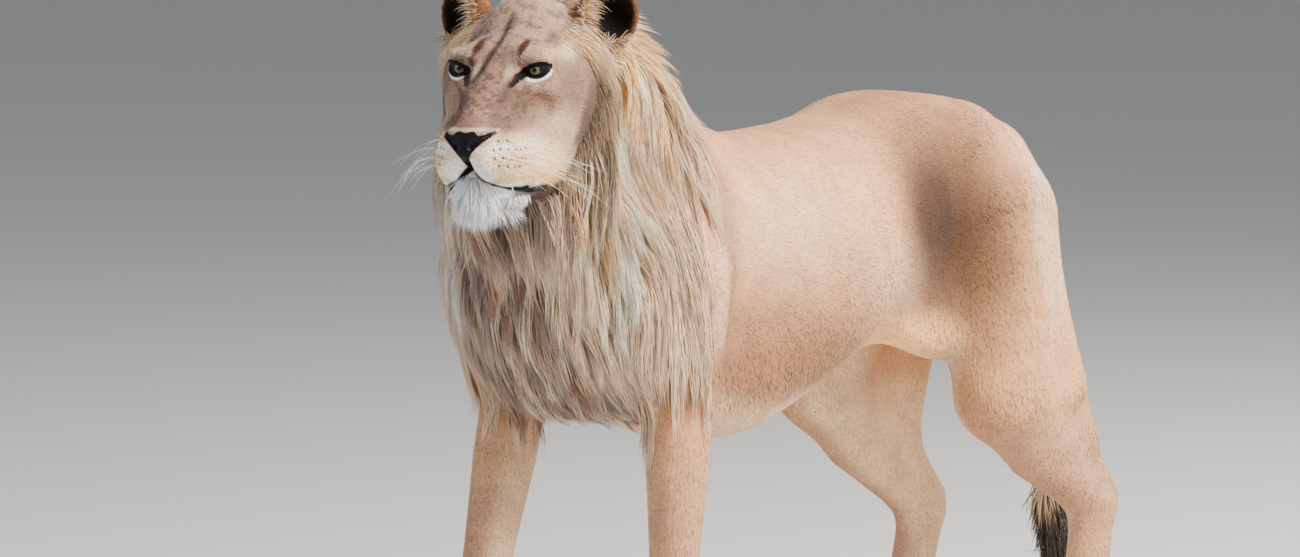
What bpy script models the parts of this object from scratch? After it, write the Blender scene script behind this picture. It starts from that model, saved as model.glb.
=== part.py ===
"""A standing male lion, life size, modelled whole from rounded forms and parted with thin cuts.

Metres, +Z up. The lion faces -Y, and its left side is +X.
The forms are laid down with the withers near y = 0, and the finished lion is moved so that the
origin lies on the floor under the middle of its bounding box.
"""

import math

import bmesh
import bpy
import numpy as np
from mathutils import Euler, Matrix, Vector

# Driving dimensions
CELL = 0.0058  # grid on which the forms are melted together
GAP = 0.0010  # width of the cut that parts two neighbouring pieces
CLEARANCE = 0.0006  # gap round a piece set into another
TRIANGLES = 3940  # of the whole body before it is parted

EYE_LEVEL = Vector((0.150, -0.530, 1.185))  # midway between the eyes
HEAD_TURN = math.radians(16.5)
EYE = Vector((0.0625, 0.012, 0.000))  # left eyeball's centre in the head's frame
EYE_RADIUS = 0.0195

HEAD = Matrix.Translation(EYE_LEVEL) @ Matrix.Rotation(HEAD_TURN, 4, "Z")
TO_HEAD = HEAD.inverted()
NO_TURN = Matrix()
LEFT, RIGHT = 1, -1
SIDES = {"left": LEFT, "right": RIGHT}

# Base colour and roughness of each kind of surface
COAT = ((0.52, 0.36, 0.23), 0.85)
MANE = ((0.56, 0.38, 0.20), 0.80)
NOSE = ((0.045, 0.032, 0.040), 0.45)
EYEBALL = ((0.30, 0.24, 0.08), 0.15)

# Where each leg's joints stand. The left fore and hind legs are the ones set back.
FORELEGS = {
    "left": {
        "elbow": Vector((0.150, -0.045, 0.610)),
        "wrist": Vector((0.146, -0.060, 0.262)),
        "knuckle": Vector((0.148, -0.088, 0.080)),
    },
    "right": {
        "elbow": Vector((-0.152, -0.085, 0.615)),
        "wrist": Vector((-0.146, -0.195, 0.268)),
        "knuckle": Vector((-0.148, -0.230, 0.080)),
    },
}
HINDLEGS = {
    "left": {
        "hip": Vector((0.095, 0.950, 0.870)),
        "knee": Vector((0.150, 0.885, 0.560)),
        "hock": Vector((0.132, 1.200, 0.335)),
        "knuckle": Vector((0.138, 1.145, 0.075)),
    },
    "right": {
        "hip": Vector((-0.095, 0.930, 0.870)),
        "knee": Vector((-0.148, 0.770, 0.575)),
        "hock": Vector((-0.130, 1.060, 0.325)),
        "knuckle": Vector((-0.136, 0.990, 0.075)),
    },
}


class Clay:
    """Distances to the surface on a grid, negative inside. Forms added to it melt together."""

    def __init__(self, low, high, cell):
        self.low, self.cell = np.array(low), cell
        self.axes = [np.arange(a, b, cell, dtype=np.float32) for a, b in zip(low, high)]
        self.value = np.full([len(a) for a in self.axes], 1.0, np.float32)

    def near(self, low, high, margin):
        """The block of the grid round a box, and the coordinates of its points."""
        block = []
        for axis, (a, b) in enumerate(zip(low, high)):
            first = int((a - margin - self.low[axis]) / self.cell)
            last = int((b + margin - self.low[axis]) / self.cell) + 2
            block.append(slice(max(first, 0), max(last, 1)))
        x, y, z = (self.axes[i][block[i]] for i in range(3))
        return tuple(block), (x[:, None, None], y[None, :, None], z[None, None, :])

    def add(self, distance, low, high, blend):
        block, grid = self.near(low, high, blend + 0.03)
        old, new = self.value[block], distance(*grid)
        overlap = np.maximum(blend - np.abs(old - new), 0) / blend
        self.value[block] = np.minimum(old, new) - overlap**2 * blend / 4

    def carve(self, distance, low, high, blend):
        block, grid = self.near(low, high, blend + 0.01)
        old, new = self.value[block], -distance(*grid)
        overlap = np.maximum(blend - np.abs(old - new), 0) / blend
        self.value[block] = np.maximum(old, new) + overlap**2 * blend / 4

    def soften(self):
        """Averages each point with its neighbours, which opens cracks finer than the grid."""
        for axis in range(3):
            ahead, behind = np.roll(self.value, -1, axis), np.roll(self.value, 1, axis)
            self.value = (ahead + 2 * self.value + behind) / 4

    def surface(self, name):
        """A closed mesh of the surface: one point in each cell that it crosses."""
        inside = self.value < 0
        corner = [(i, j, k) for i in (0, 1) for j in (0, 1) for k in (0, 1)]
        shape = [n - 1 for n in inside.shape]
        filled = np.zeros(shape, np.uint8)
        for i, j, k in corner:
            filled += inside[i : i + shape[0], j : j + shape[1], k : k + shape[2]]
        cells = np.argwhere((filled > 0) & (filled < 8))
        at_corner = {c: self.value[tuple((cells + c).T)] for c in corner}
        total = np.zeros((len(cells), 3))
        crossings = np.zeros(len(cells))
        for a in corner:
            for axis in range(3):
                if a[axis]:
                    continue
                b = tuple(1 if i == axis else a[i] for i in range(3))
                crossed = (at_corner[a] < 0) != (at_corner[b] < 0)
                share = at_corner[a] / np.where(crossed, at_corner[a] - at_corner[b], 1)
                point = np.tile(np.array(a, float), (len(cells), 1))
                point[:, axis] = share
                total += np.where(crossed[:, None], point, 0)
                crossings += crossed
        points = self.low + (cells + total / crossings[:, None]) * self.cell
        number = np.full(shape, -1, np.int32)
        number[tuple(cells.T)] = np.arange(len(cells))
        quads = []
        for axis in range(3):
            one, two = (axis + 1) % 3, (axis + 2) % 3
            step = np.eye(3, dtype=int)
            a = inside[tuple(slice(0, -1) if i == axis else slice(1, -1) for i in range(3))]
            b = inside[tuple(slice(1, None) if i == axis else slice(1, -1) for i in range(3))]
            for leaving in (True, False):
                edge = np.argwhere((a & ~b) if leaving else (~a & b))
                edge += step[one] + step[two]
                ring = [edge, edge - step[one], edge - step[one] - step[two], edge - step[two]]
                if not leaving:
                    ring.reverse()
                quads.append(np.stack([number[tuple(c.T)] for c in ring], axis=1))
        mesh = bpy.data.meshes.new(name)
        mesh.from_pydata(points.tolist(), [], np.concatenate(quads).tolist())
        obj = bpy.data.objects.new(name, mesh)
        bpy.context.scene.collection.objects.link(obj)
        return obj


# Forms


def lump(centre, radii, turn=(0, 0, 0), frame=NO_TURN):
    """An ellipsoid's distance and bounds; turn is in degrees about X, Y and Z."""
    spin = Euler([math.radians(a) for a in turn]).to_matrix().to_4x4()
    place = frame @ Matrix.Translation(Vector(centre)) @ spin
    back = np.array(place.inverted())
    rx, ry, rz = radii

    def distance(x, y, z):
        u, v, w = (back[i, 0] * x + back[i, 1] * y + back[i, 2] * z + back[i, 3] for i in range(3))
        near = np.sqrt((u / rx) ** 2 + (v / ry) ** 2 + (w / rz) ** 2)
        steep = np.sqrt((u / rx**2) ** 2 + (v / ry**2) ** 2 + (w / rz**2) ** 2)
        return near * (near - 1) / np.maximum(steep, 1e-6)

    middle = place.translation
    reach = [
        math.sqrt(sum((place[i][k] * radii[k]) ** 2 for k in range(3))) for i in range(3)
    ]
    low = [middle[i] - reach[i] for i in range(3)]
    high = [middle[i] + reach[i] for i in range(3)]
    return distance, low, high


def shaft(start, end, widths, depths=None, frame=NO_TURN):
    """A tapering rod with rounded ends; widths run across the body, depths fore and aft."""
    a, b = frame @ Vector(start), frame @ Vector(end)
    depths = depths or widths
    along = b - a
    length = along.length
    along.normalize()
    front = along.cross(frame.to_3x3() @ Vector((1, 0, 0))).normalized()
    side = front.cross(along).normalized()

    def distance(x, y, z):
        px, py, pz = x - a.x, y - a.y, z - a.z
        t = px * along.x + py * along.y + pz * along.z
        u = px * side.x + py * side.y + pz * side.z
        v = px * front.x + py * front.y + pz * front.z
        share = np.clip(t / length, 0, 1)
        beyond = t - share * length
        width = widths[0] + (widths[1] - widths[0]) * share
        depth = depths[0] + (depths[1] - depths[0]) * share
        thin = np.minimum(width, depth)
        near = np.sqrt((u / width) ** 2 + (v / depth) ** 2 + (beyond / thin) ** 2)
        return (near - 1) * thin

    big = max(*widths, *depths)
    low = [min(a[i], b[i]) - big for i in range(3)]
    high = [max(a[i], b[i]) + big for i in range(3)]
    return distance, low, high


def limb(clay, joints, widths, depths, blend=0.02, frame=NO_TURN):
    """A run of shafts end to end, melted as one form into what is there."""
    parts = [
        shaft(joints[i], joints[i + 1], widths[i : i + 2], depths[i : i + 2], frame)
        for i in range(len(joints) - 1)
    ]

    def distance(x, y, z):
        return np.minimum.reduce([part[0](x, y, z) for part in parts])

    low = [min(part[1][i] for part in parts) for i in range(3)]
    high = [max(part[2][i] for part in parts) for i in range(3)]
    clay.add(distance, low, high, blend)


def pair(clay, centre, radii, turn=(0, 0, 0), blend=0.02, frame=NO_TURN):
    """The same lump on both sides of the midline."""
    for s in SIDES.values():
        place = (s * centre[0], centre[1], centre[2])
        clay.add(*lump(place, radii, (turn[0], s * turn[1], s * turn[2]), frame), blend)


# Trunk: each station is (y, top, bottom, half width, height of the widest place as a share)
TRUNK = np.array(
    [
        (-0.30, 0.960, 0.800, 0.070, 0.50),
        (-0.24, 1.010, 0.690, 0.125, 0.50),
        (-0.14, 1.040, 0.615, 0.160, 0.50),
        (-0.02, 1.060, 0.575, 0.160, 0.52),
        (0.10, 1.052, 0.555, 0.166, 0.50),
        (0.24, 1.042, 0.550, 0.194, 0.46),
        (0.36, 1.042, 0.572, 0.205, 0.44),
        (0.48, 1.048, 0.608, 0.195, 0.44),
        (0.58, 1.062, 0.636, 0.178, 0.46),
        (0.67, 1.072, 0.655, 0.160, 0.50),
        (0.76, 1.075, 0.675, 0.150, 0.55),
        (0.86, 1.073, 0.695, 0.150, 0.58),
        (0.95, 1.060, 0.720, 0.146, 0.58),
        (1.02, 1.016, 0.750, 0.118, 0.55),
        (1.07, 0.955, 0.790, 0.080, 0.50),
    ]
)


def trunk_distance(x, y, z):
    """Egg-shaped sections along the spine."""
    flat = y.ravel()
    top, bottom, half, waist = (np.interp(flat, TRUNK[:, 0], TRUNK[:, i]) for i in range(1, 5))
    middle = (bottom + (top - bottom) * waist)[None, :, None]
    top, bottom, half = (a[None, :, None] for a in (top, bottom, half))
    rise = np.where(z > middle, top - middle, middle - bottom)
    near = np.sqrt((np.abs(x) / half) ** 2.3 + (np.abs(z - middle) / rise) ** 2.0)
    beyond = np.maximum(np.maximum(TRUNK[0, 0] - y, y - TRUNK[-1, 0]), 0)
    return (near - 1) * np.minimum(half, rise) + beyond


def add_trunk(clay):
    clay.add(trunk_distance, (-0.22, -0.34, 0.50), (0.22, 1.14, 1.09), 0.03)
    pair(clay, (0.045, 0.730, 1.006), (0.070, 0.140, 0.064), blend=0.05)  # loin
    pair(clay, (0.090, 0.830, 0.985), (0.050, 0.070, 0.060), blend=0.06)  # point of the hip
    pair(clay, (0.070, 1.000, 0.880), (0.068, 0.084, 0.128), blend=0.05)  # buttock
    clay.add(*lump((0, 0.02, 1.010), (0.080, 0.200, 0.058)), 0.06)  # withers
    clay.add(*lump((0, 0.22, 0.645), (0.120, 0.200, 0.105)), 0.08)  # belly
    pair(clay, (0.105, 0.700, 0.705), (0.045, 0.140, 0.070), (-25, 0, 0), blend=0.06)  # flank
    clay.add(*lump((0, 1.060, 0.745), (0.042, 0.046, 0.056)), 0.02)  # scrotum


def add_foreleg(clay, s, leg):
    elbow, wrist, knuckle = leg["elbow"], leg["wrist"], leg["knuckle"]
    point = Vector((s * 0.140, -0.175, 0.815))  # of the shoulder
    clay.add(*lump((s * 0.112, -0.050, 0.905), (0.074, 0.120, 0.155), (14, s * -10, 0)), 0.06)
    limb(clay, [point, elbow + Vector((0, -0.02, 0.05))], [0.066, 0.062], [0.076, 0.080], 0.06)
    rear = Vector((s * 0.138, 0.015, 0.820))
    limb(clay, [rear, elbow + Vector((0, 0.040, 0.020))], [0.055, 0.044], [0.070, 0.042], 0.05)
    clay.add(*lump((s * 0.152, -0.045, 0.790), (0.063, 0.104, 0.185), (0, s * -4, 0)), 0.02)
    limb(
        clay,
        [elbow, elbow.lerp(wrist, 0.28), elbow.lerp(wrist, 0.75), wrist, knuckle],
        [0.057, 0.055, 0.045, 0.048, 0.052],
        [0.070, 0.066, 0.049, 0.050, 0.048],
    )
    clay.add(*lump(wrist + Vector((0, 0.040, -0.012)), (0.020, 0.018, 0.022)), 0.015)
    add_paw(clay, knuckle, width=0.070, length=0.098)


def add_hindleg(clay, s, leg):
    hip, knee, hock, knuckle = leg["hip"], leg["knee"], leg["hock"], leg["knuckle"]
    seat = Vector((s * 0.080, 0.990, 0.840))
    limb(clay, [hip, knee], [0.085, 0.068], [0.135, 0.090], 0.05)
    front = hip + Vector((s * 0.015, -0.080, 0))
    limb(clay, [front, knee], [0.075, 0.066], [0.090, 0.075], 0.05)
    calf = knee.lerp(hock, 0.30) + Vector((0, 0.070, 0.060))
    limb(clay, [seat, calf], [0.070, 0.052], [0.088, 0.074], 0.06)
    cord = knee.lerp(hock, 0.62) + Vector((0, 0.060, 0.045))
    limb(clay, [seat + Vector((0, 0.010, 0.02)), cord], [0.056, 0.036], [0.060, 0.038], 0.05)
    limb(
        clay,
        [knee, knee.lerp(hock, 0.38), knee.lerp(hock, 0.78), hock],
        [0.064, 0.058, 0.042, 0.039],
        [0.084, 0.086, 0.052, 0.048],
        0.04,
    )
    heel = hock + Vector((0, 0.038, 0.026))
    tendon = knee.lerp(hock, 0.5) + Vector((0, 0.065, 0.035))
    limb(clay, [tendon, heel], [0.032, 0.026], [0.036, 0.028], 0.03)
    limb(
        clay,
        [hock, hock.lerp(knuckle, 0.5), knuckle],
        [0.042, 0.040, 0.048],
        [0.052, 0.043, 0.044],
    )
    add_paw(clay, knuckle, width=0.064, length=0.092)


def add_paw(clay, knuckle, width, length):
    """A pad with four toes, the inner and outer ones set back, flat on the floor."""
    x, y = knuckle.x, knuckle.y
    clay.add(*lump((x, y - 0.010, 0.040), (width * 0.95, length * 0.66, 0.048)), 0.02)
    toes = [(-0.72, 0.018, 0.92), (-0.25, -0.010, 1.0), (0.25, -0.010, 1.0), (0.72, 0.018, 0.92)]
    for across, back, size in toes:
        centre = (x + across * width, y - length * 0.68 + back, 0.030 * size)
        radii = (0.0225 * size, 0.045 * size, 0.037 * size)
        clay.add(*lump(centre, radii, (0, 0, across * 9)), 0.012)


def add_head(clay):
    """Forms in the head's own frame: its origin midway between the eyes, -Y out of the face."""

    def one(centre, radii, turn=(0, 0, 0), blend=0.02):
        clay.add(*lump(centre, radii, turn, HEAD), blend)

    def two(centre, radii, turn=(0, 0, 0), blend=0.02):
        pair(clay, centre, radii, turn, blend, HEAD)

    one((0, 0.150, 0.012), (0.098, 0.105, 0.100), blend=0.03)  # cranium
    one((0, 0.056, 0.002), (0.074, 0.088, 0.050), (34, 0, 0), 0.03)  # forehead
    two((0.048, 0.022, 0.018), (0.038, 0.036, 0.020), (20, 12, -14), 0.02)  # brow
    limb(
        clay,
        [(0, 0.010, -0.018), (0, -0.060, -0.066), (0, -0.112, -0.100)],
        [0.042, 0.042, 0.036],
        [0.034, 0.034, 0.032],
        0.03,
        HEAD,
    )
    two((0.046, -0.012, -0.058), (0.031, 0.056, 0.040), (35, 0, -8), 0.03)  # upper jaw
    two((0.067, 0.046, -0.032), (0.031, 0.050, 0.024), (0, 14, -22), 0.02)  # cheekbone
    two((0.086, 0.118, -0.045), (0.047, 0.068, 0.088), (0, 0, -6), 0.04)  # jaw muscle
    two((0.035, -0.090, -0.130), (0.032, 0.048, 0.041), (0, -6, -14), 0.012)  # whisker pad
    two((0.045, -0.044, -0.118), (0.032, 0.062, 0.052), (0, 0, -12), 0.03)
    one((0, -0.124, -0.104), (0.036, 0.032, 0.022), (38, 0, 0), 0.012)  # nose
    two((0.028, -0.114, -0.102), (0.014, 0.026, 0.016), (30, 0, -14), 0.010)
    one((0, -0.076, -0.184), (0.046, 0.046, 0.042), blend=0.012)  # chin
    two((0.046, -0.004, -0.160), (0.034, 0.086, 0.046), (0, 0, -16), 0.02)  # lower jaw
    two((0.062, 0.030, -0.110), (0.038, 0.070, 0.070), (0, 0, -16), 0.04)
    one((0, 0.050, -0.130), (0.090, 0.085, 0.070), blend=0.04)  # throat
    for s in SIDES.values():
        add_ear(clay, s)
        # The corner of the eye, the mouth's crease and the cleft under the nose
        clay.carve(*lump((s * 0.064, -0.022, 0.001), (0.022, 0.026, 0.014), (0, 0, 0), HEAD), 0.012)
        start, end = (s * 0.006, -0.145, -0.1480), (s * 0.050, -0.110, -0.1760)
        clay.carve(*shaft(start, end, [0.003, 0.003], frame=HEAD), 0.012)
        corner = (s * 0.064, -0.022, -0.158)
        clay.carve(*shaft(end, corner, [0.003, 0.002], frame=HEAD), 0.012)
    start, end = (0, -0.164, -0.130), (0, -0.142, -0.148)
    clay.carve(*shaft(start, end, [0.003, 0.003], frame=HEAD), 0.008)


EAR = {"root": Vector((0.110, 0.170, 0.053)), "lean": 26, "turn": 30, "width": 0.054, "height": 0.060}


def ear_frame(s):
    spin = Matrix.Rotation(math.radians(s * EAR["lean"]), 4, "Y")
    turn = Matrix.Rotation(math.radians(s * EAR["turn"]), 4, "Z")
    root = Vector((s * EAR["root"].x, EAR["root"].y, EAR["root"].z))
    return Matrix.Translation(root) @ turn @ spin


def add_ear(clay, s):
    """A round cup, open forward and outward."""
    frame = HEAD @ ear_frame(s)
    w, h = EAR["width"], EAR["height"]
    clay.add(*lump((0, 0, h * 0.35), (w, 0.040, h), frame=frame), 0.02)
    clay.carve(*lump((0, -0.036, h * 0.46), (w * 0.74, 0.046, h * 0.74), frame=frame), 0.010)


def add_mane(clay):
    """The mane to the tips of its hair, from the cheeks to the chest and withers."""
    clay.add(*lump((0, 0.155, -0.025), (0.160, 0.100, 0.140), frame=HEAD), 0.03)
    clay.add(*lump((0, 0.125, -0.140), (0.154, 0.110, 0.112), frame=HEAD), 0.04)
    limb(
        clay,
        [(0.110, -0.250, 1.165), (0.050, -0.115, 1.085), (0.010, 0.035, 0.965)],
        [0.140, 0.150, 0.136],
        [0.140, 0.136, 0.112],
        0.07,
    )
    clay.add(*lump((0.078, -0.365, 0.970), (0.150, 0.125, 0.150)), 0.08)
    clay.add(*lump((0.035, -0.255, 0.860), (0.186, 0.150, 0.180)), 0.08)
    clay.add(*lump((0.000, -0.190, 0.750), (0.145, 0.120, 0.145)), 0.08)
    clay.add(*lump((0.000, -0.110, 0.675), (0.095, 0.130, 0.072)), 0.06)


TAIL = [
    ((0.000, 1.060, 0.965), 0.046),
    ((0.000, 1.130, 0.930), 0.036),
    ((0.002, 1.168, 0.870), 0.030),
    ((0.004, 1.185, 0.780), 0.026),
    ((0.006, 1.192, 0.670), 0.023),
    ((0.006, 1.205, 0.560), 0.021),
    ((0.002, 1.228, 0.460), 0.020),
    ((-0.006, 1.258, 0.375), 0.020),
]
TUFT = [
    ((-0.006, 1.258, 0.375), 0.020),
    ((-0.012, 1.284, 0.320), 0.032),
    ((-0.020, 1.308, 0.265), 0.042),
    ((-0.030, 1.330, 0.215), 0.034),
    ((-0.040, 1.346, 0.170), 0.014),
]


def add_tail(clay):
    for run in (TAIL, TUFT):
        radii = [radius for _, radius in run]
        limb(clay, [joint for joint, _ in run], radii, radii, 0.015)


# Thinning


def head_nearness(point):
    """1 in the face, falling to 0 behind the ears."""
    local = TO_HEAD @ point
    return max(0.0, min(1.0, (0.19 - local.y) / 0.05)) if local.z > -0.24 else 0.0


def bake_modifiers(obj):
    """Replaces the object's mesh with what its modifiers make of it."""
    graph = bpy.context.evaluated_depsgraph_get()
    old = obj.data
    obj.data = bpy.data.meshes.new_from_object(obj.evaluated_get(graph))
    obj.modifiers.clear()
    bpy.data.meshes.remove(old)


def thin_out(obj, triangles):
    """Fewer, larger facets: coarsest on the trunk, finest in the face."""
    group = obj.vertex_groups.new(name="thin")
    for vertex in obj.data.vertices:
        face = head_nearness(vertex.co)
        limbs = 0.35 if vertex.co.z < 0.5 else 0.0
        foot = 0.55 if vertex.co.z < 0.11 else limbs
        group.add([vertex.index], 1 - 0.8 * max(face, foot), "REPLACE")
    decimate = obj.modifiers.new("Thin out", "DECIMATE")
    decimate.vertex_group = "thin"
    decimate.vertex_group_factor = 0.02
    obj.data.calc_loop_triangles()
    decimate.ratio = triangles / len(obj.data.loop_triangles)
    bake_modifiers(obj)
    for vertex in obj.data.vertices:
        vertex.co.z = max(vertex.co.z, 0.0)


# Parting


def slab(name, centre, normal, width, height, roll=0):
    """A thin plate that parts two pieces; width and height are half sizes."""
    bm = bmesh.new()
    facing = Vector(normal).normalized().to_track_quat("Z", "Y").to_matrix().to_4x4()
    place = (
        Matrix.Translation(Vector(centre))
        @ facing
        @ Matrix.Rotation(math.radians(roll), 4, "Z")
        @ Matrix.Diagonal((width, height, GAP / 2, 1))
    )
    bmesh.ops.create_cube(bm, size=2, matrix=place)
    return mesh_object(name, bm)


def ball(name, place, radii, segments=16):
    bm = bmesh.new()
    place = HEAD @ place @ Matrix.Diagonal((*radii, 1))
    bmesh.ops.create_uvsphere(bm, u_segments=segments, v_segments=segments // 2, radius=1, matrix=place)
    return mesh_object(name, bm)


def jaw_cutter():
    """A bent plate along the mouth, then down behind the chin."""
    path = [(-0.30, -0.156), (-0.020, -0.164), (0.018, -0.250), (0.018, -0.290)]
    bm = bmesh.new()
    half = GAP / 2
    outline = []
    for i, (y, z) in enumerate(path):
        before, after = path[max(i - 1, 0)], path[min(i + 1, len(path) - 1)]
        along = Vector((after[0] - before[0], after[1] - before[1])).normalized()
        outline.append((y + along.y * half, z - along.x * half, y - along.y * half, z + along.x * half))
    rings = []
    for x in (-0.16, 0.16):
        one = [bm.verts.new(HEAD @ Vector((x, y, z))) for y, z, _, _ in outline]
        two = [bm.verts.new(HEAD @ Vector((x, y, z))) for _, _, y, z in reversed(outline)]
        rings.append(one + two)
    count = len(rings[0])
    for i in range(count):
        j = (i + 1) % count
        bm.faces.new((rings[0][i], rings[1][i], rings[1][j], rings[0][j]))
    for i in range(len(path) - 1):
        for ring in rings:
            bm.faces.new((ring[i], ring[i + 1], ring[count - 2 - i], ring[count - 1 - i]))
    bmesh.ops.recalc_face_normals(bm, faces=bm.faces)
    return mesh_object("jaw cutter", bm)


def mesh_object(name, bm):
    mesh = bpy.data.meshes.new(name)
    bm.to_mesh(mesh)
    bm.free()
    obj = bpy.data.objects.new(name, mesh)
    bpy.context.scene.collection.objects.link(obj)
    return obj


def boolean(obj, cutter, operation):
    modifier = obj.modifiers.new(operation, "BOOLEAN")
    modifier.operation = operation
    modifier.solver = "EXACT"
    modifier.object = cutter
    bake_modifiers(obj)


def remove(obj):
    bpy.data.objects.remove(obj, do_unlink=True)


def leg_cuts():
    for side, s in SIDES.items():
        fore, hind = FORELEGS[side], HINDLEGS[side]
        shin = fore["wrist"] - fore["elbow"]
        yield slab("shoulder", (s * 0.138, -0.0668, 0.701), (s * 1.0, 0, -0.62), 0.2232, 0.2225)
        yield slab("forearm", fore["elbow"] + shin * 0.22, shin, 0.12, 0.12)
        yield slab("forepaw", fore["wrist"] + Vector((0, 0, -0.03)), (0, 0, 1), 0.10, 0.10)
        yield slab("hip", (s * 0.090, 0.8955, 0.800), (s * 1.0, 0, -0.50), 0.235, 0.206)
        shank = hind["hock"] - hind["knee"]
        below = hind["knee"] + shank * 0.10 + Vector((s * 0.012, 0.06, 0.042))
        yield slab("knee", below, (0, 0.42, -1), 0.120, 0.25)
        yield slab("hock", hind["hock"] + Vector((0, 0, -0.035)), (0, 0.25, 1), 0.08, 0.10)
        yield slab("hindpaw", hind["knuckle"] + Vector((0, 0, 0.035)), (0, 0, 1), 0.10, 0.10)


def body_cuts():
    turned = HEAD.to_3x3()
    yield slab("head", HEAD @ Vector((0, 0.175, -0.06)), turned @ Vector((0, 1, -0.34)), 0.30, 0.32)
    yield slab("neck", (0.02, -0.200, 0.960), (0, -0.95, 0.30), 0.36, 0.50)
    yield slab("ribs", (0, 0.155, 0.800), (0, 1, 0), 0.30, 0.34)
    yield slab("loin", (0, 0.400, 0.800), (0, 1, 0), 0.30, 0.34)
    yield slab("rump", (0, 0.662, 0.800), (0, 1, 0), 0.30, 0.36)
    for name, high in (("tail", 0.780), ("tail end", 0.560)):
        yield slab(name, (0.005, 1.20, high), (0, 0, 1), 0.05, 0.05)
    yield slab("tuft", (-0.009, 1.272, 0.345), (0, -0.5, 1), 0.05, 0.05)


# A point in the middle of every piece, by which it is known after the cuts
LANDMARKS = {
    "head": HEAD @ Vector((0, 0.05, -0.03)),
    "lower_jaw": HEAD @ Vector((0, -0.060, -0.190)),
    "neck": Vector((0.06, -0.26, 1.02)),
    "chest": Vector((0, -0.02, 0.80)),
    "ribs": Vector((0, 0.28, 0.78)),
    "loin": Vector((0, 0.53, 0.80)),
    "rump": Vector((0, 0.94, 0.90)),
    "tail_middle": Vector((0.006, 1.19, 0.67)),
    "tail_end": Vector((0, 1.23, 0.46)),
    "tail_tuft": Vector((-0.02, 1.31, 0.25)),
}
for side, s in SIDES.items():
    fore, hind = FORELEGS[side], HINDLEGS[side]
    LANDMARKS["upper_arm_" + side] = Vector((s * 0.185, -0.07, 0.70))
    LANDMARKS["forearm_" + side] = fore["elbow"].lerp(fore["wrist"], 0.6)
    LANDMARKS["forepaw_" + side] = fore["knuckle"]
    LANDMARKS["thigh_" + side] = hind["knee"] + Vector((s * 0.02, 0.08, 0.16))
    LANDMARKS["shank_" + side] = hind["knee"].lerp(hind["hock"], 0.6)
    LANDMARKS["hindfoot_" + side] = hind["hock"].lerp(hind["knuckle"], 0.5)
    LANDMARKS["hindpaw_" + side] = hind["knuckle"] - Vector((0, 0.02, 0.03))


def tidy(obj):
    """Welds slivers left by the cuts, keeping the piece closed."""
    bm = bmesh.new()
    bm.from_mesh(obj.data)
    bmesh.ops.remove_doubles(bm, verts=bm.verts, dist=0.0001)
    bmesh.ops.dissolve_degenerate(bm, edges=bm.edges, dist=0.0001)
    bmesh.ops.triangulate(bm, faces=bm.faces)
    bm.to_mesh(obj.data)
    bm.free()


def part(lion):
    """Cuts the whole lion into its pieces and names each."""
    for cutter in list(leg_cuts()) + list(body_cuts()) + [jaw_cutter()]:
        boolean(lion, cutter, "DIFFERENCE")
        remove(cutter)
    tidy(lion)
    bpy.ops.object.select_all(action="DESELECT")
    bpy.context.view_layer.objects.active = lion
    lion.select_set(True)
    bpy.ops.mesh.separate(type="LOOSE")
    pieces = [obj for obj in bpy.data.objects if obj.type == "MESH"]
    free = dict(LANDMARKS)
    for piece in sorted(pieces, key=lambda obj: -len(obj.data.vertices)):
        middle = sum((v.co for v in piece.data.vertices), Vector()) / len(piece.data.vertices)
        name = min(free, key=lambda key: (free[key] - middle).length)
        piece.name = piece.data.name = name
        del free[name]
    return {obj.name: obj for obj in pieces}


def set_in(head, name, place, radii):
    """Cuts a rounded piece out of the head, leaving it in its own bed."""
    inner = ball("cutter", place, radii)
    outer = ball("bed", place, [r + CLEARANCE for r in radii])
    piece = head.copy()
    piece.data = head.data.copy()
    bpy.context.scene.collection.objects.link(piece)
    boolean(piece, inner, "INTERSECT")
    boolean(head, outer, "DIFFERENCE")
    remove(inner)
    remove(outer)
    piece.name = piece.data.name = name
    tidy(piece)
    return piece


def head_pieces(head):
    """The nose leather, the ears and the eyeballs."""
    place = Matrix.Translation((0, -0.150, -0.104)) @ Matrix.Rotation(math.radians(20), 4, "X")
    yield set_in(head, "nose", place, (0.036, 0.022, 0.023))
    for side, s in SIDES.items():
        place = ear_frame(s) @ Matrix.Translation((0, 0, EAR["height"] * 0.42))
        radii = (EAR["width"] + 0.006, 0.046, EAR["height"] + 0.004)
        yield set_in(head, "ear_" + side, place, radii)
        place = Matrix.Translation((s * EYE.x, EYE.y, EYE.z))
        bed = ball("bed", place, [EYE_RADIUS + CLEARANCE] * 3)
        boolean(head, bed, "DIFFERENCE")
        remove(bed)
        yield ball("eye_" + side, place, [EYE_RADIUS] * 3)
    tidy(head)


def paint(obj, colour, roughness):
    """Gives the piece its own material and rounds its shading."""
    material = bpy.data.materials.new(obj.name)
    material.use_nodes = True
    shader = material.node_tree.nodes["Principled BSDF"]
    shader.inputs["Base Color"].default_value = (*colour, 1)
    shader.inputs["Roughness"].default_value = roughness
    shader.inputs["Metallic"].default_value = 0
    obj.data.materials.clear()
    obj.data.materials.append(material)
    obj.data.shade_smooth()
    obj.data.set_sharp_from_angle(angle=math.radians(50))


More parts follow.
